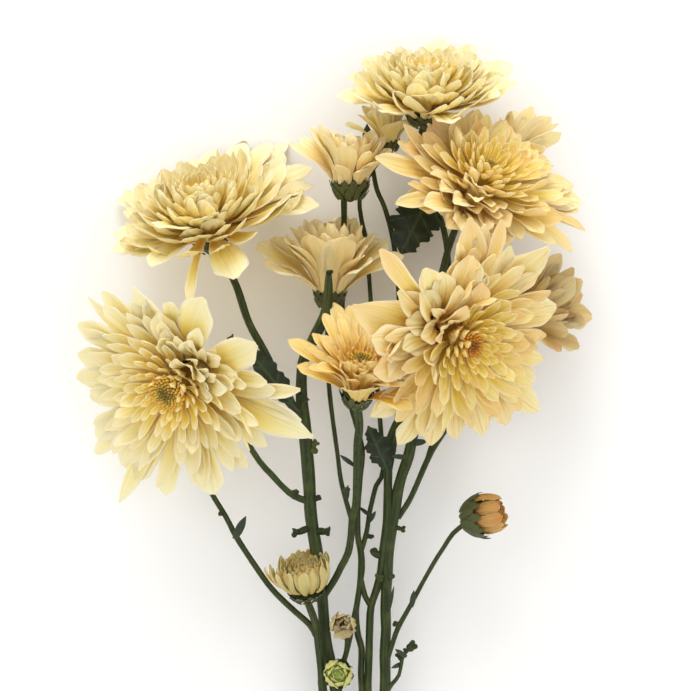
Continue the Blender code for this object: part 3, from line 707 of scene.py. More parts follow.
# Each petal finish with its colours in their order: root, body, tip, heart, vein, back and blush.
FINISHES = {
    Tint.CREAM: PetalFinish(
        "cream", "F8BA30", "F9E28C", "FCF4D2", "FCD640", "F8DC8C", "F8E29A", "F0D8A8",
        blushing=0.4, veined=0.5, golden=0.7, faded=0.70),
    Tint.PEACH: PetalFinish(
        "peach", "F6AE38", "F6DA86", "FCEEC4", "FADE38", "F2B66E", "F8DC98", "F2B474",
        blushing=0.5, veined=0.65, golden=1.0, faded=0.55),
    Tint.GOLD: PetalFinish(
        "gold", "E09A2C", "F3C862", "F8E2A6", "E8AA38", "F0C27C", "F2D48A", "ECBC72"),
    Tint.PALE: PetalFinish(
        "pale", "F4B856", "FCE49E", "FEF2CC", "F8CC54", "F4CA8E", "FAE2A8", "F8D296",
        blushing=0.4, veined=0.5, golden=0.6, faded=0.75),
    # Darker, greyer colours for bloom_05: partly its own wilting, and partly painted shade from lying
    # behind bloom_04.
    Tint.FADED: PetalFinish(
        "faded", "C08E40", "D0B67C", "D8C494", "CEA84C", "BE9860", "C8B07C", "C4905E",
        blushing=0.8, veined=0.5),
    Tint.AMBER: PetalFinish(
        "amber", "8E6C28", "C4944A", "D6AC66", "BE8E3C", "AE7438", "C09052", "BE7C3A", blushing=0.8),
    Tint.BUD: PetalFinish(
        "bud", "A08A38", "D2C078", "DDD09A", "BC9A44", "B89A50", "C4B070", "BC8E3E", blushing=0.8),
    Tint.LIME: PetalFinish(
        "lime", "8C9A3C", "CCCA74", "DAD698", "8DAE32", "BCC068", "B8B868", "D0C078"),
    Tint.DULL: PetalFinish(
        "dull", "7C6A38", "BEAC78", "CCBE92", "A08A5A", "A08A5C", "B8A472", "86704A", blushing=0.8),
}
STEM_SKIN = GreenFinish("stem", "1F2A0E", "424F20", "5C5C2A", roughness=0.55)
LEAF_SKIN = GreenFinish("leaf", "1E2A18", "38462C", "50523A", roughness=0.45, patches=0.2)
CALYX_SKIN = GreenFinish("calyx", "222E16", "3E4C24", "4E522C", roughness=0.5, patches=0.25)
DISCS = {
    Disc.GOLDEN: FloretFinish("golden", "F2C85A", "56561E"),
    Disc.RUSTY: FloretFinish("rusty", "E8A840", "7E3C16"),
    Disc.GREEN: FloretFinish("olive", "E4B848", "74702A"),
    Disc.LIME: FloretFinish("lime", "9DB83C", "6E8F2C"),
    Disc.BROWN: FloretFinish("brown", "6E5038", "4A3424"),
}
MOUND = FloretFinish("mound", "D8A848", "A07C2C")


class Kind(Enum):
    """The shapes of the petals that have a place of their own, and of the scoops."""

    ROUND = "round"
    POINT = "point"
    QUILL = "quill"
    CURL = "curl"
    SCOOP = "scoop"


# What sets each kind apart, in the words of a blade.
KIND_SHAPES = {
    Kind.ROUND: {"point": 0.12, "roll": 100, "open": 34, "curl": 0.02},
    Kind.POINT: {"point": 0.75, "roll": 100, "open": 50, "curl": 0.06},
    Kind.QUILL: {"point": 0.2, "roll": 240, "open": 150, "curl": -0.05, "base": 0.62},
    Kind.CURL: {"point": 0.45, "roll": 110, "open": 80, "curl": 0.40},
    Kind.SCOOP: {"point": 0.05, "roll": 150, "open": 70, "curl": 0.12},
}


# The rows of scales round a calyx: the heights of root and tip beside the cup's depth, then the tip's
# distance from the axis and the scale's width beside the ring.
SCALE_ROWS = ((-0.88, -0.40, 0.94, 0.34), (-0.66, -0.14, 1.02, 0.38), (-0.46, 0.08, 1.07, 0.38))
SCALES_A_ROW = 11

# How far round the axis a placed petal draws its neighbours along, and the pull of the plain outline.
PULL_WIDTH, PLAIN_PULL = math.radians(16), 0.12
# A parting leaves the petals of the heart, shortens the next ones and takes out those further out.
HEART_DEPTH, SHORT_DEPTH = 0.22, 0.55
# Stray petals: from how far out in the spiral, and what share of them.
STRAY_FROM, STRAY_SHARE = 0.35, 0.14
# Petals nearer the middle than this have fewer faces.
FEW_FACES_DEPTH = 0.45


@dataclass(frozen=True)
class Head:
    """One flower head or opening bud, in the same words as in the solids.

    seat is the top of its calyx: column, row, height. reach is how far the outer tips are from the
    axis, rim how high they are over the seat, and rise how high the inner tips are. tips are outer
    petals with a place of their own: column, row, height over the seat's plane, width and kind.
    tips_at are the same with the height over the surface. eye is how wide the disc of florets is
    beside the ring, and dome how high its middle is beside rise. parting is the column and row of a
    gap between the petals, split half its width in radians, and scoops are the petals that grow
    round it. shut goes from 0 for an open flower to 1 for a bud whose petals close over its top.

    ring and cup are the radius and the depth of the calyx, and clasp is how far it reaches up the
    petals, beside cup. incurve and cupped are how many degrees the inner and the outer petals bend
    in, and lean how many those at the flower's sides turn to face up. crumpled is how deep the folds
    across the petals are beside their width, and golden is the column and row towards which the
    petals stay golden for longer.
    """

    name: str
    seat: tuple
    axis: tuple
    reach: float
    rise: float
    rim: float
    width: float
    petals: int
    seed: int
    tint: Tint = Tint.CREAM
    disc: Disc = Disc.GOLDEN
    ring: float = 7.0
    cup: float = 7.0
    incurve: float = 25.0
    cupped: float = 0.0
    crumpled: float = 0.0
    clasp: float = 0.0
    golden: tuple = ()
    lean: float = 0.0
    eye: float = 0.40
    dome: float = 0.66
    florets: int = 60
    shut: float = 0.0
    parting: tuple = ()
    split: float = 0.50
    scoops: tuple = ()
    tips: tuple = ()
    tips_at: tuple = ()

    def frame(self) -> tuple:
        """The head's own directions.

        Returns:
            The seat, the axis and the two directions across it.
        """
        up = unit(np.array(self.axis, float))
        across = unit(np.array([1.0, 0.0, 0.0]) - up * up[0])
        return seen(*self.seat), up, across, np.cross(up, across)

    def turn_to(self, point: np.ndarray) -> tuple[float, float, float]:
        """Finds a point in the head's own directions.

        Args:
            point: The point.

        Returns:
            Its turn about the axis, its distance from it and its height over the seat.
        """
        seat, up, across, other = self.frame()
        arm = point - seat
        high = float(arm @ up)
        flat = arm - up * high
        return math.atan2(flat @ other, flat @ across), float(np.linalg.norm(flat)), high

    def sighted(self, column: float, row: float, lift: float) -> np.ndarray:
        """Finds a point by its place in the picture and its height over the seat's plane.

        Args:
            column: Column of the picture.
            row: Row of the picture.
            lift: Height over the seat's plane.

        Returns:
            The point.
        """
        seat, up, _, _ = self.frame()
        eye = np.array([MIDDLE_X, MIDDLE_Y, EYE_HEIGHT])
        sight = seen(column, row, 0.0) - eye
        return eye + sight * ((lift - (eye - seat) @ up) / (sight @ up))

    def placed(self) -> list[tuple[float, float, float, float, Kind]]:
        """The petals that have a place of their own.

        Returns:
            Turn, distance, height, width and kind of each.
        """
        found = []
        for column, row, lift, width, *kind in self.tips:
            found.append((*self.turn_to(self.sighted(column, row, lift)), width, *(kind or [Kind.ROUND])))
        for column, row, height, width, *kind in self.tips_at:
            found.append((*self.turn_to(seen(column, row, height)), width, *(kind or [Kind.ROUND])))
        return found

    def outline(self, tips: list, turn: float) -> tuple[float, float]:
        """How far and how high the outer petals reach at a turn about the axis.

        Args:
            tips: The placed petals.
            turn: The turn in radians.

        Returns:
            Distance from the axis and height over the seat.
        """
        total, far, high = PLAIN_PULL, PLAIN_PULL * self.reach, PLAIN_PULL * self.rim
        for angle, distance, height, *_ in tips:
            apart = (angle - turn + math.pi) % (2 * math.pi) - math.pi
            share = math.exp(-((apart / PULL_WIDTH) ** 2))
            total += share
            far += share * distance
            high += share * height
        return far / total, high / total

    def leaned(self, turn: float, share: float) -> float:
        """Finds the twist that turns a petal to face up more.

        Args:
            turn: The petal's turn about the axis.
            share: How much of the head's lean it takes.

        Returns:
            The twist in degrees.
        """
        _, up, across, other = self.frame()
        out = across * math.cos(turn) + other * math.sin(turn)
        beside = np.cross(up, out)
        return self.lean * share * -math.copysign(1.0, beside[2]) * abs(beside[2])

    def parted(self, blade: Blade) -> Blade | None:
        """Makes room for the parting.

        Args:
            blade: A petal of the spiral.

        Returns:
            The petal as it was, swung aside, or drawn in short of the gap, or None where the
            scoops take its place.
        """
        if not self.parting or blade.depth < HEART_DEPTH:
            return blade
        turn, far, _ = self.turn_to(self.gap())
        apart = (blade.turn - turn + math.pi) % (2 * math.pi) - math.pi
        if abs(apart) > self.split:
            swing = 0.12 * max(0.0, 1.2 - abs(apart))
            return replace(blade, turn=blade.turn + math.copysign(swing, apart))
        if blade.depth > SHORT_DEPTH:
            return None
        short = min(blade.tip[0], far * (0.75 + 0.3 * blade.chance))
        high = self.rise * (1.02 - 0.45 * blade.depth)
        return replace(blade, tip=(short, high), start=62.0, finish=88.0, curl=0.0)

    def gap(self) -> np.ndarray:
        """Finds where the parting is.

        Returns:
            The point that the scoops grow from, or else the seat.
        """
        if not self.parting:
            return seen(*self.seat)
        return seen(*self.parting, self.seat[2] + self.rise * 0.35)

    def scooped(self) -> list[Blade]:
        """Shapes the short scooped petals round the parting.

        Returns:
            The petals, in the frame of the gap.
        """
        draw = random.Random(self.seed + 4)
        _, up, across, other = self.frame()
        foot = self.gap()
        made = []
        for column, row, lift, width, *kind in self.scoops:
            arm = self.sighted(column, row, lift) - foot
            high = float(arm @ up)
            flat = arm - up * high
            far = float(np.linalg.norm(flat))
            slope = math.degrees(math.atan2(high + 2.0, far - 0.8))
            shape = KIND_SHAPES[kind[0] if kind else Kind.SCOOP]
            made.append(Blade(
                math.atan2(flat @ other, flat @ across), (0.8, -2.0), (far, high),
                slope + 25, slope - 55, width, twist=draw.uniform(-25, 25), ruffle=0.03,
                sway=draw.uniform(-0.08, 0.08), depth=draw.uniform(0.75, 0.93), chance=draw.random(),
                **shape,
            ))
        return made

    def spiral_petal(self, draw: random.Random, t: float, turn: float, rim: tuple, bright: float) -> Blade:
        """Shapes a petal of the spiral.

        Args:
            draw: The source of its chances.
            t: Its place in the spiral, from 0 in the middle to 1 outside.
            turn: Its turn about the axis.
            rim: How far and how high the outer petals reach at that turn.
            bright: The turn towards which the petals stay golden for longer.

        Returns:
            The petal.
        """
        far, high = rim
        first = self.eye + 0.06
        root = (
            self.ring * (first + (0.92 - first) * t), self.rise * self.dome * (0.92 - 0.84 * t ** 0.8),
        )
        if self.shut:
            low = 0.72 if self.width > 5 else 0.92
            reach = self.ring * (0.15 + 0.85 * t) * (1 - 0.55 * self.shut) + (far - self.ring) * t
            lift = self.rise * (low + (1 - low) * t)
            start, finish = 78 - 58 * t, 90 + 75 * self.shut
        else:
            inner = self.ring * max(0.62, first)
            reach = inner + (far * 0.95 - inner) * t ** 0.95
            lift = self.rise + (high - self.rise) * t ** 2.2
            slope = math.degrees(math.atan2(lift - root[1], reach - root[0]))
            start = slope + (26 - self.cupped) * t - (1 - t) * self.incurve * 0.9
            finish = slope + (self.cupped - 20) * t + (1 - t) * self.incurve * 1.2
        reach *= draw.uniform(1 - 0.06 * t, 1 + 0.04 * t)
        lift += draw.uniform(-0.07, 0.07) * self.rise * t * (1 - self.shut)
        flat = 1.3 * float(eased(np.array(t * 2))) * self.cupped
        return Blade(
            turn, root, (reach, lift),
            start + draw.uniform(-8, 8), finish + draw.uniform(-14, 14) * t * (1 - self.shut),
            self.width * (0.34 + 0.52 * t) * draw.uniform(0.84, 1.16),
            roll=225 - 120 * t - flat,
            open=140 - 85 * t - 0.6 * flat + draw.uniform(-15, 15),
            twist=self.leaned(turn, 0.5) * t + draw.uniform(-18, 18),
            sway=draw.uniform(-0.08, 0.08), point=draw.uniform(0.0, 0.65) ** 2.2,
            curl=draw.uniform(-0.10, 0.25),
            ruffle=(draw.uniform(0.0, 0.05) + self.crumpled) * t,
            depth=t * (1 - 0.5 * max(0.0, math.cos(turn - bright))) if self.golden else t,
            chance=draw.random(),
        )

    def layers(self) -> list[Blade]:
        """Shapes the petals of the spiral.

        Returns:
            The petals, from the innermost out.
        """
        draw = random.Random(self.seed)
        tips = self.placed()
        bright = self.turn_to(self.sighted(*self.golden, self.rise / 2))[0] if self.golden else 0.0
        made = []
        for k in range(self.petals):
            t = (k + 0.5) / self.petals
            turn = k * GOLDEN_TURN + draw.uniform(-0.16, 0.16)
            blade = self.spiral_petal(draw, t, turn, self.outline(tips, turn), bright)
            if self.shut:
                blade = replace(
                    blade, point=0.0, base=0.7, curl=0.0, roll=120, open=85, twist=blade.twist * 0.3,
                )
            elif STRAY_FROM < t and draw.random() < STRAY_SHARE:
                # A stray petal is broad, stands out of line and lifts its tip.
                blade = replace(
                    blade, width=blade.width * 1.3, twist=blade.twist + draw.choice((-38, 38)),
                    tip=(blade.tip[0] * 0.96, blade.tip[1] + 1.8), curl=0.35,
                )
            fitted = self.parted(blade)
            if fitted is not None:
                made.append(fitted)
        return made

    def outer(self) -> list[Blade]:
        """Shapes the petals that have a place of their own.

        Returns:
            The petals, and none for a bud.
        """
        draw = random.Random(self.seed + 1)
        made = []
        for turn, far, high, width, kind in () if self.shut else self.placed():
            root = (self.ring * 0.84, -0.12 * self.cup)
            slope = math.degrees(math.atan2(high - root[1], far - root[0]))
            made.append(Blade(
                turn, root, (far, high), slope + 22, slope - 18, width,
                twist=self.leaned(turn, 1.0) + draw.uniform(-8, 8),
                sway=draw.uniform(-0.04, 0.04), ruffle=0.03 + self.crumpled, depth=1.0,
                chance=1.0 if kind is Kind.QUILL else draw.random(), **KIND_SHAPES[kind],
            ))
        return made

    def bracts(self) -> list[Blade]:
        """Shapes the green scales of the calyx.

        Returns:
            The scales, in three rows that overlap.
        """
        draw = random.Random(self.seed + 2)
        made = []
        for row, (low, high, out, size) in enumerate(SCALE_ROWS):
            for k in range(SCALES_A_ROW):
                turn = 2 * math.pi * (k + row / 3 + draw.uniform(-0.12, 0.12)) / SCALES_A_ROW
                root = (self.ring * (0.98 + 0.42 * low), low * self.cup)
                tip = (
                    self.ring * (out + 0.30 * self.clasp) * draw.uniform(0.97, 1.06),
                    (high + self.clasp) * self.cup + draw.uniform(-0.3, 0.3),
                )
                width = self.ring * (size + 0.2 * self.clasp) * draw.uniform(0.9, 1.1)
                made.append(Blade(
                    turn, root, tip, 35, 62 + 45 * self.clasp, width, roll=70, open=40, point=0.9,
                    base=0.7, thick=0.5, depth=0.3 + 0.2 * row, chance=draw.random(),
                ))
        return made

    def petal_shape(self, broad: Sheet, narrow: Sheet) -> Shape:
        """Lays all the petals of the head out.

        Args:
            broad: The sheet of the outer petals.
            narrow: The sheet of the inner petals, with fewer faces.

        Returns:
            The shape of the petals.
        """
        shape, frame = Shape(), self.frame()
        for blade in self.layers() + self.outer():
            blade.lay(frame, broad if blade.depth > FEW_FACES_DEPTH else narrow, shape)
        for blade in self.scooped():
            blade.lay((self.gap(), *frame[1:]), broad, shape)
        return shape

    def eye_shape(self, ball: Ball, mound: Ball) -> tuple[Shape, Shape]:
        """The disc florets, and the mound that florets and petals grow from.

        Args:
            ball: The ball of a floret.
            mound: The ball of the mound.

        Returns:
            The shape of the florets and that of the mound.
        """
        draw = random.Random(self.seed + 3)
        seat, up, across, other = self.frame()
        top = self.rise * self.dome
        disc, body = Shape(), Shape()
        mound.lay(seat + up * (top * 0.46), up, self.ring * 0.86, top * 0.54, (0.3, 0.5, 0.0), body)
        for k in range(self.florets):
            share = math.sqrt((k + 0.5) / self.florets)
            turn = k * GOLDEN_TURN
            out = across * math.cos(turn) + other * math.sin(turn)
            wide = self.ring * (self.eye + 0.10) * share
            lean = unit(up + out * (0.55 * share + draw.uniform(-0.1, 0.1)))
            tall = (0.8 + 0.9 * share) * draw.uniform(0.85, 1.15)
            foot = seat + out * wide + up * (top * (0.97 - 0.16 * share ** 2))
            ball.lay(
                foot + lean * tall * 0.5, lean, 0.34 + 0.26 * share, tall,
                (min(1.0, 1.8 * share ** 1.3 * draw.uniform(0.5, 1.1)), draw.random(), 0.0), disc, 0.35,
            )
        return disc, body


HEADS = (
    Head(
        "bloom_04", seat=(447, 332, 54), axis=(0.51, -0.30, 0.81), reach=38, rise=21, rim=7, width=8.6,
        petals=125, seed=24, tint=Tint.PEACH, disc=Disc.RUSTY, eye=0.45, dome=0.82, florets=70,
        parting=(434, 320), split=0.34, cupped=12, crumpled=0.065, golden=(500, 400),
        scoops=(
            (431, 308, 17, 4), (440, 326, 19, 5), (428, 321, 13, 5), (449, 319, 19, 6), (466, 305, 20, 7),
            (457, 285, 18, 7), (440, 272, 15, 9), (419, 292, 15, 10), (420, 337, 15, 8),
            (434, 338, 18, 6), (405, 322, 12, 9), (404, 345, 11, 9), (470, 256, 16, 12),
            (480, 282, 18, 9), (398, 290, 11, 10, Kind.CURL),
        ),
        tips=(
            (351, 305, 9, 16, Kind.POINT), (381, 250, 16, 8, Kind.QUILL), (468, 217, 14, 15, Kind.POINT),
            (502, 220, 15, 7, Kind.QUILL), (541, 243, 12, 14, Kind.CURL), (371, 338, 14, 11),
            (373, 372, 12, 11), (538, 410, 6, 9), (507, 424, 5, 9), (484, 434, 4, 10), (456, 438, 2, 9),
            (430, 445, 0, 10), (398, 444, -4, 10), (370, 416, -4, 10), (556, 306, 9, 10),
            (534, 380, 8, 10), (424, 268, 18, 9),
        ),
    ),
    Head(
        "bloom_11", seat=(188, 374, 47), axis=(-0.41, -0.41, 0.815), reach=40, rise=20, rim=7, width=7.6,
        petals=125, seed=11, eye=0.74, dome=0.88, florets=130, parting=(205, 356), split=0.34, cupped=14,
        scoops=(
            (203, 347, 15, 4), (208, 367, 18, 5), (198, 358, 18, 4), (216, 349, 12, 5), (192, 339, 17, 7),
            (199, 327, 16, 6), (177, 335, 17, 6), (168, 327, 15, 7), (176, 357, 19, 6), (194, 366, 20, 6),
            (221, 356, 14, 7), (216, 373, 17, 6), (207, 378, 19, 5), (228, 388, 16, 7), (238, 374, 12, 8),
            (214, 396, 17, 6), (160, 312, 13, 9),
        ),
        tips=(
            (89, 296, 9, 6, Kind.POINT), (134, 286, 14, 13, Kind.POINT), (205, 298, 16, 13),
            (257, 344, 12, 12), (300, 390, 6, 7, Kind.QUILL), (314, 436, 4, 13, Kind.POINT),
            (78, 324, 9, 9), (78, 354, 8, 10), (77, 378, 7, 9), (91, 398, 5, 9), (97, 437, 3, 9),
            (96, 453, 1, 6), (121, 500, -3, 7, Kind.POINT), (165, 494, 0, 8), (213, 494, 4, 14),
            (248, 467, 3, 9), (267, 446, 5, 9), (124, 466, 1, 10),
        ),
    ),
    Head(
        "bloom_03", seat=(473, 197, 38), axis=(0.33, 0.62, 0.71), reach=37, rise=22, rim=9, width=8.6,
        petals=125, seed=3, tint=Tint.PEACH, disc=Disc.GREEN, eye=0.34, dome=0.80, florets=40,
        parting=(465, 214), split=0.12, cupped=14, crumpled=0.03, golden=(560, 170),
        scoops=(
            (474, 187, 20, 8), (463, 181, 19, 8), (486, 197, 18, 8), (470, 223, 8, 7), (461, 207, 15, 5),
            (478, 215, 13, 6), (456, 220, 9, 6), (452, 204, 17, 7), (440, 192, 15, 8), (462, 232, 10, 9),
            (484, 234, 11, 9), (492, 214, 15, 8), (476, 204, 19, 6), (424, 206, 10, 9), (446, 228, 7, 8),
            (430, 176, 14, 8), (508, 228, 10, 10),
        ),
        tips=(
            (392, 212, 6, 7, Kind.CURL), (372, 166, 6, 10, Kind.CURL), (398, 132, 12, 9, Kind.CURL),
            (427, 124, 12, 9, Kind.POINT), (586, 230, 2, 6, Kind.QUILL), (572, 252, 1, 8),
            (581, 204, 4, 11), (573, 186, 5, 10), (551, 164, 8, 9), (405, 196, 0, 6), (440, 214, 6, 9),
            (505, 246, 4, 13), (540, 150, 10, 8),
        ),
    ),
    Head(
        "bloom_10", seat=(209, 234, 31), axis=(-0.20, 0.88, 0.42), reach=35, rise=22, rim=15, width=10.4,
        petals=150, seed=10, cupped=45, lean=25,
        tips=(
            (113, 251, 2, 10), (113, 236, 4, 8), (117, 200, 7, 7), (151, 267, 2, 9), (319, 206, 2, 11),
            (313, 186, 6, 9), (312, 168, 8, 9), (287, 144, 12, 8), (270, 144, 14, 9), (245, 143, 14, 8),
        ),
        tips_at=(
            (189, 303, 52, 5, Kind.QUILL), (236, 279, 52, 13), (222, 190, 0.8, 10), (245, 144, 6, 9),
            (158, 228, 62, 12), (205, 218, 66, 11), (215, 150, 4, 9), (190, 160, 8, 9),
        ),
    ),
    Head(
        "bloom_01", seat=(425, 113, 32), axis=(0.0, 0.93, 0.36), reach=30, rise=20, rim=13, width=9.8,
        petals=125, seed=21, cup=5.5, cupped=42, lean=25, dome=0.80,
        tips_at=(
            (336, 98, 34, 11), (348, 78, 28, 9), (363, 58, 16, 9), (442, 39, 7, 9), (475, 46, 12, 9),
            (513, 66, 22, 11), (517, 84, 30, 8), (452, 124, 58, 9), (425, 62, 0.8, 10),
            (380, 112, 52, 10), (500, 96, 46, 11), (420, 96, 62, 9), (394, 54, 4, 9),
        ),
    ),
    Head(
        "bloom_09", seat=(358, 391, 54), axis=(0.10, 0.80, 0.60), reach=20, rise=17, rim=15, width=6.0,
        petals=70, seed=9, tint=Tint.GOLD, disc=Disc.GREEN, ring=6.0, incurve=20, cupped=-22, eye=0.62,
        dome=0.86, florets=70,
        tips=(
            (288, 340, 8, 8), (297, 366, 6, 7), (333, 303, 15, 6), (349, 306, 15, 6), (312, 334, 14, 6),
            (417, 396, 6, 7), (412, 410, 5, 7), (350, 391, 10, 7), (364, 390, 10, 7), (378, 388, 9, 6),
            (400, 340, 14, 6),
        ),
    ),
    Head(
        "bloom_08", seat=(330, 291, 21), axis=(0.05, 0.97, 0.10), reach=23, rise=25, rim=21, width=9.5,
        petals=34, seed=8, tint=Tint.PALE, ring=6.0, lean=40, florets=30,
        tips_at=(
            (256, 246, 24, 13), (264, 266, 36, 11), (300, 226, 8, 10), (335, 218, 4, 10),
            (360, 224, 8, 11), (388, 240, 14, 10), (404, 257, 22, 9), (312, 236, 40, 13),
            (344, 238, 43, 12), (372, 262, 36, 12), (284, 240, 34, 12), (368, 246, 30, 11),
        ),
    ),
    Head(
        "bloom_06", seat=(350, 181, 30), axis=(0.0, 0.98, 0.12), reach=17, rise=16, rim=15, width=7.0,
        petals=36, seed=6, tint=Tint.PALE, cup=7.5, lean=35, florets=30,
        tips_at=(
            (289, 144, 32, 6), (300, 138, 24, 6), (309, 128, 38, 8), (330, 131, 20, 7), (322, 134, 44, 8),
            (382, 160, 46, 9), (392, 150, 34, 9), (368, 142, 16, 8), (341, 166, 44, 6), (368, 168, 44, 7),
            (345, 146, 47, 8),
        ),
    ),
    Head(
        # bloom_05's darker petals are partly its own wilting and partly painted shade from lying behind
        # bloom_04.
        "bloom_05", seat=(515, 318, 25), axis=(0.75, 0.42, 0.20), reach=24, rise=20, rim=12, width=8.0,
        petals=34, seed=5, tint=Tint.FADED, lean=30, florets=30,
        tips_at=(
            (561, 254, 22, 8), (573, 267, 30, 8), (582, 280, 34, 8), (582, 294, 20, 8),
            (592, 317, 26, 13), (579, 348, 24, 9), (560, 352, 36, 10), (540, 300, 0.8, 9),
        ),
    ),
    Head(
        "bloom_02", seat=(503, 160, 20), axis=(0.62, 0.72, -0.25), reach=19, rise=14, rim=8, width=7.5,
        petals=24, seed=2, tint=Tint.PALE, ring=5.5, cup=5.5, lean=30, florets=20,
        tips_at=(
            (532, 106, 22, 10), (551, 117, 24, 8), (559, 124, 18, 7), (561, 133, 26, 8),
            (544, 147, 30, 8), (516, 112, 8, 9),
        ),
    ),
    Head(
        "bloom_07", seat=(388, 141, 22), axis=(-0.1, 0.97, 0.15), reach=13, rise=14, rim=12, width=6.0,
        petals=16, seed=7, ring=4.3, cup=4.5, lean=30, florets=16,
        tips_at=(
            (362, 106, 24, 6), (345, 125, 26, 7), (376, 108, 32, 8), (398, 122, 36, 10),
            (412, 120, 22, 7),
        ),
    ),
    Head(
        "bud_13", seat=(306, 591, 26), axis=(-0.12, 0.93, 0.34), reach=12.0, rise=11.5, rim=10.5,
        width=3.9, petals=130, seed=13, tint=Tint.BUD, shut=0.30, eye=0.05, ring=6.4, cup=4.0, florets=0,
        tips_at=(
            (262, 577, 30, 4), (333, 573, 30, 4), (270, 574, 36, 4), (322, 566, 37, 4),
        ),
    ),
    Head(
        "bud_14", seat=(474, 517, 31), axis=(0.95, 0.18, 0.25), reach=7.4, rise=11.5, rim=10.0, width=6.4,
        petals=44, seed=14, tint=Tint.AMBER, shut=0.45, eye=0.05, clasp=0.8, ring=6.2, cup=5.0, florets=0,
    ),
    Head(
        "bud_15", seat=(344, 627, 23), axis=(-0.05, 0.35, 0.93), reach=5.2, rise=7.2, rim=6.6, width=9.5,
        petals=11, seed=15, tint=Tint.DULL, disc=Disc.BROWN, shut=0.80, eye=0.55, dome=0.5, ring=3.9,
        cup=2.6, florets=0,
    ),
    Head(
        "bud_16", seat=(338, 674, 21), axis=(0.0, 0.08, 1.0), reach=6.2, rise=5.6, rim=5.0, width=9.5,
        petals=15, seed=16, tint=Tint.LIME, disc=Disc.LIME, shut=0.75, eye=0.05, ring=5.2, cup=3.4,
        florets=0,
    ),
)


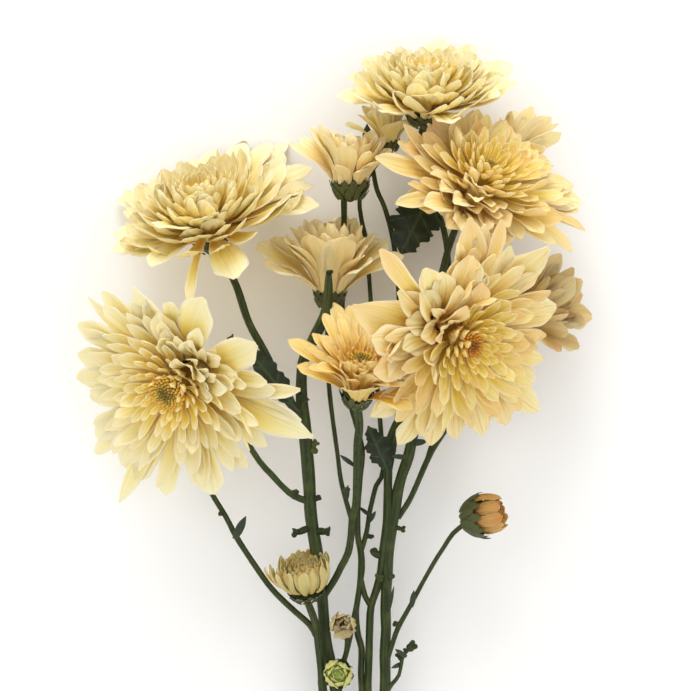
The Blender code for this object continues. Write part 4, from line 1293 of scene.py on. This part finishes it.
# Shoots: column, row, height, width in columns, each from its flower or tip down to its join.
SHOOTS = {
    "left_main": (
        (329, 272, 42, 5.0), (328.6, 280, 42, 7.5), (328, 300, 41, 10.0), (325, 316, 40, 11),
        (313, 340, 37, 11), (303, 363, 35, 11), (301.5, 394, 32, 11.5), (304, 420, 30, 12.5),
        (309, 480, 26, 12.8), (311, 516, 23, 12.5), (316.7, 553, 21, 12), (322, 596, 19, 11.5),
        (326, 640, 17, 11), (336, 691, 15, 11.5), (346, 760, 12, 12), (356, 825, 9.5, 12),
        (364, 885, 7.5, 12),
    ),
    "to_bloom_10": (
        (304, 414, 30, 8.5), (295, 409, 31, 8), (284, 394, 31, 8), (267, 356, 31, 7.8),
        (249, 323, 31, 7.6), (236, 285, 31, 7.4), (222.6, 260, 29, 7), (213, 246, 28.5, 6.5),
    ),
    "to_bloom_11": (
        (307, 501, 25, 7), (294, 496, 27, 6.5), (283, 487, 29, 6), (271, 474, 30, 6),
        (260, 462, 30, 6), (243, 435, 28, 6), (228, 405, 27, 6), (216, 380, 29, 6),
        (206, 367, 35, 6), (198, 364, 41, 6.5),
    ),
    "to_bud_13": (
        (308, 603, 25, 7), (315, 622, 22.5, 7.5), (318, 640, 20.5, 8), (321.6, 673, 18, 8.5),
        (323, 691, 16, 9), (333, 750, 13, 9), (350, 808, 10, 9),
    ),
    "behind_bloom_11": (
        (316, 636, 21, 6), (310, 625, 21, 6.2), (290, 607, 20, 6.2), (272, 589, 19, 6.2),
        (258, 570, 18, 6), (237, 538, 17, 5.8), (226, 517, 16, 5.5), (212, 494, 15, 5.4),
        (200, 470, 14, 5), (194, 450, 14, 5),
    ),
    "to_bloom_08": (
        (330, 308, 20.5, 5.5), (327, 340, 21, 5), (328, 366, 22, 5), (329, 386, 22, 4.6),
        (331, 406, 22, 4.6), (334, 429, 22, 4.6), (338, 458, 22, 4.6), (340, 475, 22.5, 4.6),
        (343.6, 492, 23.5, 4.8), (351, 518, 26, 5),
    ),
    "to_bloom_09": (
        (357, 405, 50.5, 8.5), (359.4, 424, 43, 8.3), (357.4, 447, 37, 8), (356.8, 475, 32, 7.6),
        (355.5, 505, 28, 7.3), (352, 520, 26, 7.3), (351, 536, 25, 7.2), (348, 553, 24, 7),
        (341, 567, 22.5, 7), (335, 579, 21, 6.8), (323, 598, 19, 6.5),
    ),
    "to_bloom_06": (
        (344, 198, 29.5, 6.2), (344, 225, 20, 6), (343, 262, 6, 5.5), (342, 300, 4, 5.5),
        (344, 350, 9, 5.5), (345, 393, 16, 5.5), (350, 404, 17, 5.5), (355, 420, 18, 5.5),
        (361, 443, 19, 5.5), (362.5, 455, 19, 5.5), (360, 480, 19, 5.5), (357.6, 509, 18.5, 6),
        (357.8, 536, 18, 6), (361, 553, 17, 7), (361.4, 569, 16.5, 7.4), (359, 591, 16.5, 6),
        (356.5, 607, 16, 6), (356, 618, 16, 6.5), (358, 636, 15.5, 6.5), (361.5, 648, 15, 6.5),
        (361, 672, 14.5, 6.5), (362, 691, 14, 6.6), (365, 735, 12, 6.8), (371, 785, 10.5, 7),
    ),
    "to_bud_16": (
        (356.5, 606, 16.5, 5.5), (354, 618, 18, 5.5), (349.4, 640, 19, 5.5),
        (345.6, 655, 18, 5.5), (340.5, 674, 17.4, 5.5), (339, 702, 14.8, 5.5),
    ),
    "to_bud_15": ((344, 632, 21.2, 4.5), (347, 641, 20.5, 4.5), (345.6, 656, 18.4, 4.8)),
    "left_tie": ((361, 580, 16.5, 6), (365, 596, 17, 6), (372, 608, 17, 6)),
    "to_bloom_07": (
        (386, 152, 21.5, 4.6), (376, 165, 17, 4.5), (364, 185, 14, 4.5), (359.5, 202, 13.5, 4.5),
        (362, 222, 13, 4.5), (366, 242, 11, 4.5), (370, 290, 8, 4.6), (374, 350, 8, 4.8),
        (380, 420, 12, 5), (383, 470, 15, 5), (376, 486, 16, 5), (371.7, 503, 17, 5),
        (369, 515, 17, 5), (366.6, 532, 17, 5.2), (361, 552, 17, 5.5),
    ),
    "bare_tip": (
        (369.5, 136, 19, 5), (370, 151, 18.5, 5), (373, 170, 17, 5), (377, 190, 16, 5),
        (384, 206, 14, 5), (391, 230, 12, 5), (396, 262, 9, 5), (400, 320, 8, 5),
        (400, 380, 11, 5.5), (396, 430, 16, 6), (389, 470, 19, 7),
    ),
    "to_bloom_03": (
        (467, 208, 33.5, 7), (459, 221, 27, 7), (448, 250, 19, 7), (436, 300, 14, 7.5),
        (420, 360, 13, 8), (403, 410, 16, 8.5), (389, 445, 18.5, 9), (388, 480, 19.5, 9),
        (387.5, 520, 20, 9.5), (384, 550, 19, 9.6), (381, 573, 18, 9), (377, 588, 17.5, 8.2),
        (371, 607, 17, 7.8), (369.6, 629, 16.5, 7.6), (369, 651, 16, 7.6), (368, 691, 14.5, 7.8),
        (370, 745, 12.2, 8), (374, 805, 10, 8.5),
    ),
    "to_bloom_04": (
        (438, 327, 48, 7.2), (434, 334, 40, 7.2), (429, 352, 31, 7.5), (421, 390, 24, 8.5),
        (415, 425, 22, 10), (412, 440, 21.5, 10.5), (408, 458, 21, 11), (402, 475, 20.5, 11),
        (397.6, 492, 20, 11.4), (395, 509, 19.5, 11.4), (391, 532, 19, 11), (388.5, 550, 18.5, 11),
        (387, 575, 18, 11), (385.5, 607, 17.5, 10.6), (386, 629, 17, 10.4), (385, 651, 16.5, 10.4),
        (385, 691, 15.5, 10.6), (381, 745, 13, 12), (375, 805, 10.4, 15), (369, 860, 8.2, 18),
        (363, 930, 5.6, 21), (360, 985, 4.2, 22.5), (359, 1040, 3.5, 23),
    ),
    "to_bloom_05": (
        (504, 325, 24, 5.5), (494, 340, 20, 5.5), (476, 376, 15, 5.5), (455, 415, 15, 5.5),
        (435.5, 445, 16, 5.5), (426, 463, 17, 5.5), (417, 484, 17.5, 5.5), (409, 501, 18, 5.5),
        (398, 518, 19, 6),
    ),
    "to_bloom_01": (
        (424.5, 125, 30.5, 7.4), (421.5, 137, 27, 7), (424, 160, 20, 6.5), (432, 195, 12, 6),
        (445, 235, 8, 6), (448, 280, 7.5, 6), (440, 340, 9, 6), (428, 390, 13, 6.5),
        (416, 428, 20, 7.5),
    ),
    "to_bloom_02": (
        (496, 168, 21, 5.2), (486, 190, 14, 5.2), (474, 230, 9, 5.2), (463, 290, 8, 5.4),
        (455, 350, 8, 5.4), (442, 410, 12, 5.4), (427, 461, 17, 5.6),
    ),
    "to_bud_14": (
        (464, 524.5, 30, 4.8), (453, 533.5, 29, 4.6), (444, 547, 28, 4.5), (435, 561, 26, 4.5),
        (423, 582, 24, 4.6), (409.6, 607, 21.5, 4.8), (398, 628, 19.5, 5), (392, 645, 18, 5),
        (386, 664, 16.5, 5.4),
    ),
    "to_bud_17": (
        (410, 648, 22, 4.5), (403, 656, 21, 4), (399, 675, 19, 4), (392, 684, 17, 4.2),
        (385, 695, 15.5, 4.6),
    ),
}

# Knobs where a leaf or a side shoot broke off: column, row, height, radius in mm, how light they are.
KNOBS = (
    (317, 499, 26, 1.7, 0.0), (296, 491, 27, 1.5, 0.1), (314, 449, 28, 2.0, 1.0), (316, 443, 28, 1.4, 1.0),
    (380, 577, 20, 1.9, 0.5), (391, 578, 20, 1.7, 0.3), (373, 553, 19, 2.0, 0.2), (396, 624, 20, 1.3, 0.2),
    (411, 647, 22.5, 2.3, 0.1), (399, 657, 21, 1.4, 0.0), (406, 651, 22, 1.2, 0.0),
    (300, 387, 34, 2.0, 0.3), (221, 514, 16.5, 1.3, 0.1), (194, 447, 15, 3.0, 0.3),
    (329, 274, 42.4, 1.5, 0.0), (300, 532, 25, 1.5, 0.0), (297, 533, 26, 1.9, 0.1),
    (324, 530, 25, 1.6, 0.1), (328, 532, 26, 1.7, 0.0), (371, 536, 18, 1.3, 0.1),
    (402, 529, 21, 1.3, 0.1), (346, 489, 24, 1.4, 0.6),
)

# Bracts and small leaves on the stems: root and tip as column, row, height, then width in mm.
BRACTS = (
    ((352, 464, 32), (340, 455, 34), 1.6), ((346, 500, 25), (348, 485, 28), 1.8),
    ((369, 521, 18), (376, 511, 21), 1.8), ((363, 510, 19), (372, 517, 21), 1.4),
    ((404, 457, 23), (391, 456, 25), 1.8), ((412, 604, 22), (414, 590, 26), 2.0),
    ((404, 655, 21), (395, 649, 24), 1.8), ((400, 664, 19), (391, 668, 22), 1.6),
    ((236, 536, 18), (246, 516, 23), 3.0), ((368, 150, 19.5), (367, 124, 23), 3.8),
    ((301, 398, 33), (310, 400, 38), 2.4), ((413, 443, 23), (428, 441, 27), 2.4),
    ((388, 612, 18), (394, 586, 25), 1.4), ((303, 372, 36), (296, 380, 39), 2.0),
    ((297, 532, 25), (292, 528, 27), 1.6), ((328, 531, 25), (330, 526, 27), 1.4),
)


def smooth_line(knots: tuple, step: float) -> tuple[np.ndarray, np.ndarray]:
    """A smooth line through the knots of a shoot.

    Args:
        knots: Column, row, height and width in columns of each knot.
        step: The distance between points, in millimetres.

    Returns:
        A point in each row, and the radius at each.
    """
    places = [seen(*knot[:3]) for knot in knots]
    radii = [knot[3] * (EYE_HEIGHT - knot[2]) / PICTURE_REACH / 2 for knot in knots]
    points, sizes = [], []
    for k in range(len(knots) - 1):
        p1, p2 = places[k], places[k + 1]
        p0 = places[k - 1] if k else p1 * 2 - p2
        p3 = places[k + 2] if k + 2 < len(knots) else p2 * 2 - p1
        parts = max(2, round(float(np.linalg.norm(p2 - p1)) / step))
        for i in range(parts):
            t = i / parts
            points.append((
                p1 * 2 + (p2 - p0) * t + (p0 * 2 - p1 * 5 + p2 * 4 - p3) * t * t
                + (p1 * 3 - p0 - p2 * 3 + p3) * t * t * t
            ) * 0.5)
            sizes.append(radii[k] + (radii[k + 1] - radii[k]) * t)
    points.append(places[-1])
    sizes.append(radii[-1])
    return np.array(points), np.array(sizes)


@dataclass(frozen=True)
class Shoot:
    """A round ribbed shoot along its knots. Its ribs follow it, so its rings are laid out one by one."""

    knots: tuple
    seed: int
    sides: int = 18
    ribs: int = 6
    step: float = 2.5

    def lay(self, into: Shape) -> None:
        """Lays the shoot out, closed at both ends.

        Args:
            into: The mesh that takes the shoot.
        """
        draw = random.Random(self.seed)
        line, radii = smooth_line(self.knots, self.step)
        along = np.gradient(line, axis=0)
        along /= np.linalg.norm(along, axis=1, keepdims=True)
        side = unit(np.cross(along[0], UP + 0.01))
        angle = np.arange(self.sides) * 2 * math.pi / self.sides
        phase, chance = draw.uniform(0, 6), draw.random()
        whole = np.ones(self.sides)
        points, places, marks = [], [], []
        travelled = 0.0
        last = len(line) - 1
        for k in range(len(line)):
            side = unit(side - along[k] * (side @ along[k]))
            other = np.cross(along[k], side)
            travelled += float(np.linalg.norm(line[k] - line[k - 1])) if k else 0.0
            # Low ribs wind slowly round a shoot that swells and thins a little along its length.
            rib = 0.5 + 0.5 * np.cos(self.ribs * angle + phase + 0.01 * travelled)
            swell = 1 + 0.03 * math.sin(travelled / 7 + phase) + 0.02 * math.sin(travelled / 2.3)
            radius = radii[k] * swell * (0.965 + 0.06 * rib)
            points.append(
                line[k] + side * (radius * np.cos(angle))[:, None]
                + other * (radius * np.sin(angle))[:, None]
            )
            places.append(np.stack([angle, travelled * whole], axis=1))
            marks.append(np.stack([0.1 + rib * 0.4, chance * whole, 0.0 * whole], axis=1))
        # The top end is green, and the lower end is worn like a cut.
        for end, way, way_along, cut in ((0, -1, 0.0, 0.0), (last, 1, travelled, 1.0)):
            points.append((line[end] + along[end] * (way * radii[end] * 0.15))[None, :])
            places.append(np.array([[0.0, way_along]]))
            marks.append(np.array([[0.5, chance, cut]]))
        turns = [(i, (i + 1) % self.sides) for i in range(self.sides)]
        low_ring = last * self.sides
        top_end, low_end = low_ring + self.sides, low_ring + self.sides + 1
        faces = []
        for a in range(0, low_ring, self.sides):
            b = a + self.sides
            faces.extend((a + i, a + j, b + j, b + i) for i, j in turns)
        for i, j in turns:
            faces.append((j, i, top_end, -1))
            faces.append((low_ring + i, low_ring + j, low_end, -1))
        into.add(np.concatenate(points), np.array(faces), np.concatenate(places), np.concatenate(marks))


@dataclass(frozen=True)
class Leaf:
    """A lobed leaf.

    foot and tip are column, row and height. left and right are its half widths in millimetres at even
    steps along the midrib, droop is how far its edges turn down and arch how high its middle stands.
    """

    foot: tuple
    tip: tuple
    left: tuple
    right: tuple
    droop: float
    arch: float

    def lay(self, sheet: Sheet, into: Shape) -> None:
        """Lays a copy of the sheet out as this leaf, with raised veins and toothed lobes.

        Args:
            sheet: The flat sheet.
            into: The mesh that takes the leaf.
        """
        start, end = seen(*self.foot), seen(*self.tip)
        along = unit(end - start)
        side = unit(np.cross(UP, along))
        face = np.cross(along, side)
        v, x = sheet.v, sheet.x
        steps = np.linspace(0, 1, len(self.left))
        half = np.where(x > 0, np.interp(v, steps, self.left), np.interp(v, steps, self.right))
        half = np.maximum(half * (1 + 0.10 * np.cos(2 * math.pi * 9 * v)), 0.3)
        wide = x * half
        lobes = (len(self.left) - 1) / 2
        veins = np.exp(-((np.abs(wide) / 0.45) ** 2))
        slant = (v * lobes - np.abs(wide) / 9.0) % 1.0
        veins = np.maximum(veins, 0.7 * np.exp(-(((slant - 0.5) / 0.07) ** 2)))
        window = np.sin(math.pi * np.clip(v, 0, 1)) ** 0.5
        bend = (
            self.droop * (np.abs(wide) / 8) ** 2 - 0.5 * np.cos(2 * math.pi * lobes * v) * x * window
            + self.arch * 4 * v * (1 - v) - 0.4 + 0.22 * veins + 0.2 * sheet.top
        )
        points = start + (end - start) * v[:, None] + side * wide[:, None] + face * bend[:, None]
        places = np.stack([(x + 1) / 2, v], axis=1)
        marks = np.stack([veins * 0.9, np.full(len(x), 0.5), 0.3 * (1 - sheet.top) / 2], axis=1)
        into.add(points, sheet.faces, places, marks)


LEAVES = (
    Leaf((431, 193, 12), (401, 254, 17), (1.2, 7.5, 5.8, 9.6, 6.6, 7.6, 4.4, 4.6, 0.0),
         (1.2, 6.6, 5.2, 9.4, 7.4, 10.6, 6.0, 5.2, 0.0), -1.5, 2.0),
    Leaf((389, 474, 20.5), (368, 426, 24), (0.8, 1.6, 2.2, 4.4, 3.4, 4.6, 2.4, 2.2, 0.0),
         (0.8, 1.8, 3.0, 6.0, 4.4, 5.6, 3.0, 2.4, 0.0), -0.8, 1.6),
    Leaf((299, 412, 34), (240, 341, 36), (0.8, 1.6, 3.0, 3.2, 3.4, 2.8, 2.0, 1.2, 0.0),
         (0.8, 1.4, 3.6, 4.8, 4.0, 5.2, 3.4, 2.0, 0.0), -0.5, 1.4),
    Leaf((214, 380, 30), (233, 334, 27), (0.7, 1.8, 1.6, 2.4, 2.0, 2.4, 1.6, 1.4, 0.0),
         (0.7, 1.8, 1.6, 2.4, 2.0, 2.4, 1.6, 1.4, 0.0), -0.4, 0.8),
)


def bract_blade(root: tuple, tip: tuple, width: float, chance: float) -> tuple[tuple, Blade]:
    """The frame and blade of a small pointed leaf on a stem.

    Args:
        root: Column, row and height of its root.
        tip: Column, row and height of its tip.
        width: Its width in millimetres.
        chance: Its mark.

    Returns:
        The frame and the blade.
    """
    foot, end = seen(*root), seen(*tip)
    arm = end - foot
    across = unit(np.array([arm[0], arm[1], 0.0]))
    frame = (foot, UP, across, np.cross(UP, across))
    far, high = float(arm @ across), float(arm[2])
    slope = math.degrees(math.atan2(high, far))
    return frame, Blade(
        0.0, (-1.0, -0.5), (far, high), slope + 15, slope - 25, width, roll=110, open=50, point=0.9,
        base=0.6, thick=0.6, depth=0.4, chance=chance, curl=0.1,
    )


@dataclass
class Greens:
    """The stems with their leaves, and the calyxes under the flower heads.

    lump and cup are how many faces the ball of a knob and that of a calyx have round their middle
    and from pole to pole. scale and leaf are how many the sheet of a scale or bract and that of a
    leaf have across and along.
    """

    shoots: dict
    knobs: tuple
    bracts: tuple
    leaves: tuple
    heads: tuple
    lump: tuple[int, int] = (14, 10)
    cup: tuple[int, int] = (20, 10)
    scale: tuple[int, int] = (4, 8)
    leaf: tuple[int, int] = (18, 40)

    def stems(self) -> Shape:
        """Lays out the shoots, and the rough knobs where a leaf or a side shoot broke off.

        Returns:
            The shape of the stems.
        """
        stems, lump = Shape(), Ball(*self.lump)
        for number, knots in enumerate(self.shoots.values()):
            Shoot(knots, number).lay(stems)
        lines = np.concatenate([smooth_line(knots, step=2.0)[0] for knots in self.shoots.values()])
        draw = random.Random(5)
        for column, row, height, radius, shade in self.knobs:
            # A stub that reaches out from the nearest shoot, and three small lumps on its end.
            centre = seen(column, row, height)
            near = lines[np.argmin(np.linalg.norm(lines - centre, axis=1))]
            arm = centre - near + UP * 0.05
            lump.lay(
                centre - arm * 0.4, arm, radius * 0.7, float(np.linalg.norm(arm)) * 0.4 + radius * 0.5,
                (shade, 0.5, shade * 0.5), stems, -0.1,
            )
            for _ in range(3):
                rough = np.array([draw.uniform(-0.5, 0.5) for _ in range(3)]) * radius
                lump.lay(
                    centre + rough, arm + rough, radius * draw.uniform(0.4, 0.6), radius * 0.6,
                    (shade * 0.7, 0.5, shade * 0.4), stems, 0.2,
                )
        return stems

    def foliage(self) -> Shape:
        """Lays out the bracts and the leaves.

        Returns:
            The shape of the leaves.
        """
        leaves, narrow, broad = Shape(), Sheet(*self.scale), Sheet(*self.leaf)
        for number, bract in enumerate(self.bracts):
            frame, blade = bract_blade(*bract, number / len(self.bracts))
            blade.lay(frame, narrow, leaves)
        for leaf in self.leaves:
            leaf.lay(broad, leaves)
        return leaves

    def calyxes(self) -> Shape:
        """Lays out the cups under the flower heads, and their scales.

        Returns:
            The shape of the calyxes.
        """
        calyxes, cup, narrow = Shape(), Ball(*self.cup), Sheet(*self.scale)
        for head in self.heads:
            frame = head.frame()
            seat, up = frame[0], frame[1]
            # A flaring cup, and the flat rim that closes it.
            for low, wide, tall, flare in ((0.42, 0.66, 0.60, 0.38), (0.10, 0.88, 0.24, 0.0)):
                cup.lay(
                    seat - up * (low * head.cup), up, head.ring * wide, head.cup * tall,
                    (0.3, 0.5, 0.0), calyxes, flare,
                )
            for blade in head.bracts():
                blade.lay(frame, narrow, calyxes)
        return calyxes

    def build(self) -> list[bpy.types.Object]:
        """Adds the green pieces.

        Returns:
            The pieces.
        """
        made = []
        for name, shape, skin in (
            ("stems", self.stems(), STEM_SKIN), ("leaves", self.foliage(), LEAF_SKIN),
            ("calyxes", self.calyxes(), CALYX_SKIN),
        ):
            piece = shape.piece(name, skin.material())
            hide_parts("leafy_stems")
            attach(piece, "root")
            made.append(piece)
        return made


@dataclass
class Flowers:
    """The petals, eye and mound of every head.

    outer and inner are how many faces the sheets of outer and inner petals have across and along, and
    floret and mound how many the balls have round their middle and from pole to pole.
    """

    heads: tuple
    outer: tuple[int, int] = (8, 12)
    inner: tuple[int, int] = (6, 8)
    floret: tuple[int, int] = (6, 5)
    mound: tuple[int, int] = (20, 10)

    def build(self) -> list[bpy.types.Object]:
        """Adds the petals, the mound and the disc of every head.

        Returns:
            The pieces.
        """
        petals = {tint: finish.material() for tint, finish in FINISHES.items()}
        discs = {disc: finish.material() for disc, finish in DISCS.items()}
        dark = MOUND.material()
        broad, narrow = Sheet(*self.outer), Sheet(*self.inner)
        floret, mound = Ball(*self.floret), Ball(*self.mound)
        made = []
        for head in self.heads:
            kind, number = head.name.split("_")
            disc, body = head.eye_shape(floret, mound)
            core = discs[head.disc] if head.shut else dark
            pieces = [
                head.petal_shape(broad, narrow).piece(f"{kind}_petals_{number}", petals[head.tint]),
                body.piece(f"{kind}_mound_{number}", core),
            ]
            if disc.count:
                pieces.append(disc.piece(f"{kind}_disc_{number}", discs[head.disc]))
            for piece in pieces:
                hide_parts(head.name)
                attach(piece, "root")
            made.extend(pieces)
        return made


@dataclass
class Studio:
    """The pale floor, the soft lights and the camera that looks straight down.

    Sizes and places are in metres here, and the lamps' powers in watts.
    """

    floor_size: float = 6.0
    floor_color: str = "FAFAF9"
    sky: float = 1.0
    sky_color: str = "FFFEFC"
    softbox: tuple[float, float, float] = (-0.25, 1.7, 0.95)
    softbox_size: float = 1.1
    softbox_power: float = 15.5
    fill: tuple[float, float, float] = (0.4, -0.2, 1.3)
    fill_size: float = 0.9
    fill_power: float = 0.775
    aim: tuple[float, float, float] = (0.0, 0.07, 0.03)

    def floor(self) -> None:
        """Lays the floor of matt white paper, which scatters light evenly and has no shine."""
        bpy.ops.object.select_all(action="DESELECT")
        bpy.ops.mesh.primitive_grid_add(size=self.floor_size)
        floor = bpy.context.object
        floor.name = "floor"
        paper, tree, shader = bare_skin("matt_paper_floor")
        feed(tree, shader, {
            "Base Color": linear(self.floor_color), "Roughness": 0.9, "Specular IOR Level": 0.1,
        })
        floor.data.materials.append(paper)

    def lights(self) -> None:
        """Adds an even pale sky, a softbox beyond the top flower and a weak fill."""
        world = bpy.data.worlds.new("soft_sky")
        world.use_nodes = True
        sky = world.node_tree.nodes["Background"]
        feed(world.node_tree, sky, {"Color": linear(self.sky_color), "Strength": self.sky})
        bpy.context.scene.world = world
        for name, place, size, power in (
            ("softbox", self.softbox, self.softbox_size, self.softbox_power),
            ("fill", self.fill, self.fill_size, self.fill_power),
        ):
            light = bpy.data.lights.new(name, "AREA")
            light.shape = "DISK"
            light.size = size
            light.energy = power
            lamp = bpy.data.objects.new(name, light)
            lamp.location = place
            way = unit(np.array(self.aim) - np.array(place))
            lamp.rotation_mode = "QUATERNION"
            lamp.rotation_quaternion = Vector(way).to_track_quat("-Z", "Y")
            bpy.context.scene.collection.objects.link(lamp)

    def camera(self) -> None:
        """Adds the camera where the picture was taken from."""
        view = bpy.data.cameras.new("overhead")
        view.sensor_width = SENSOR_WIDTH
        view.lens = SENSOR_WIDTH * PICTURE_REACH / PICTURE_WIDTH
        camera = bpy.data.objects.new("overhead", view)
        camera.location = (MIDDLE_X * MM, MIDDLE_Y * MM, EYE_HEIGHT * MM)
        bpy.context.scene.collection.objects.link(camera)
        bpy.context.scene.camera = camera
        bpy.context.scene.view_settings.view_transform = "Standard"

    def build(self) -> None:
        """Adds the floor, the lights and the camera."""
        self.floor()
        self.lights()
        self.camera()


def main() -> None:
    """Builds the spray around the frame, and reports each piece."""
    logging.basicConfig(level=logging.INFO, format="%(message)s")
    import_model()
    pieces = Flowers(HEADS).build() + Greens(SHOOTS, KNOBS, BRACTS, LEAVES, HEADS).build()
    Studio().build()
    for piece in pieces:
        LOG.info("%s: %d faces", piece.name, len(piece.data.polygons))


if __name__ == "__main__":
    main()
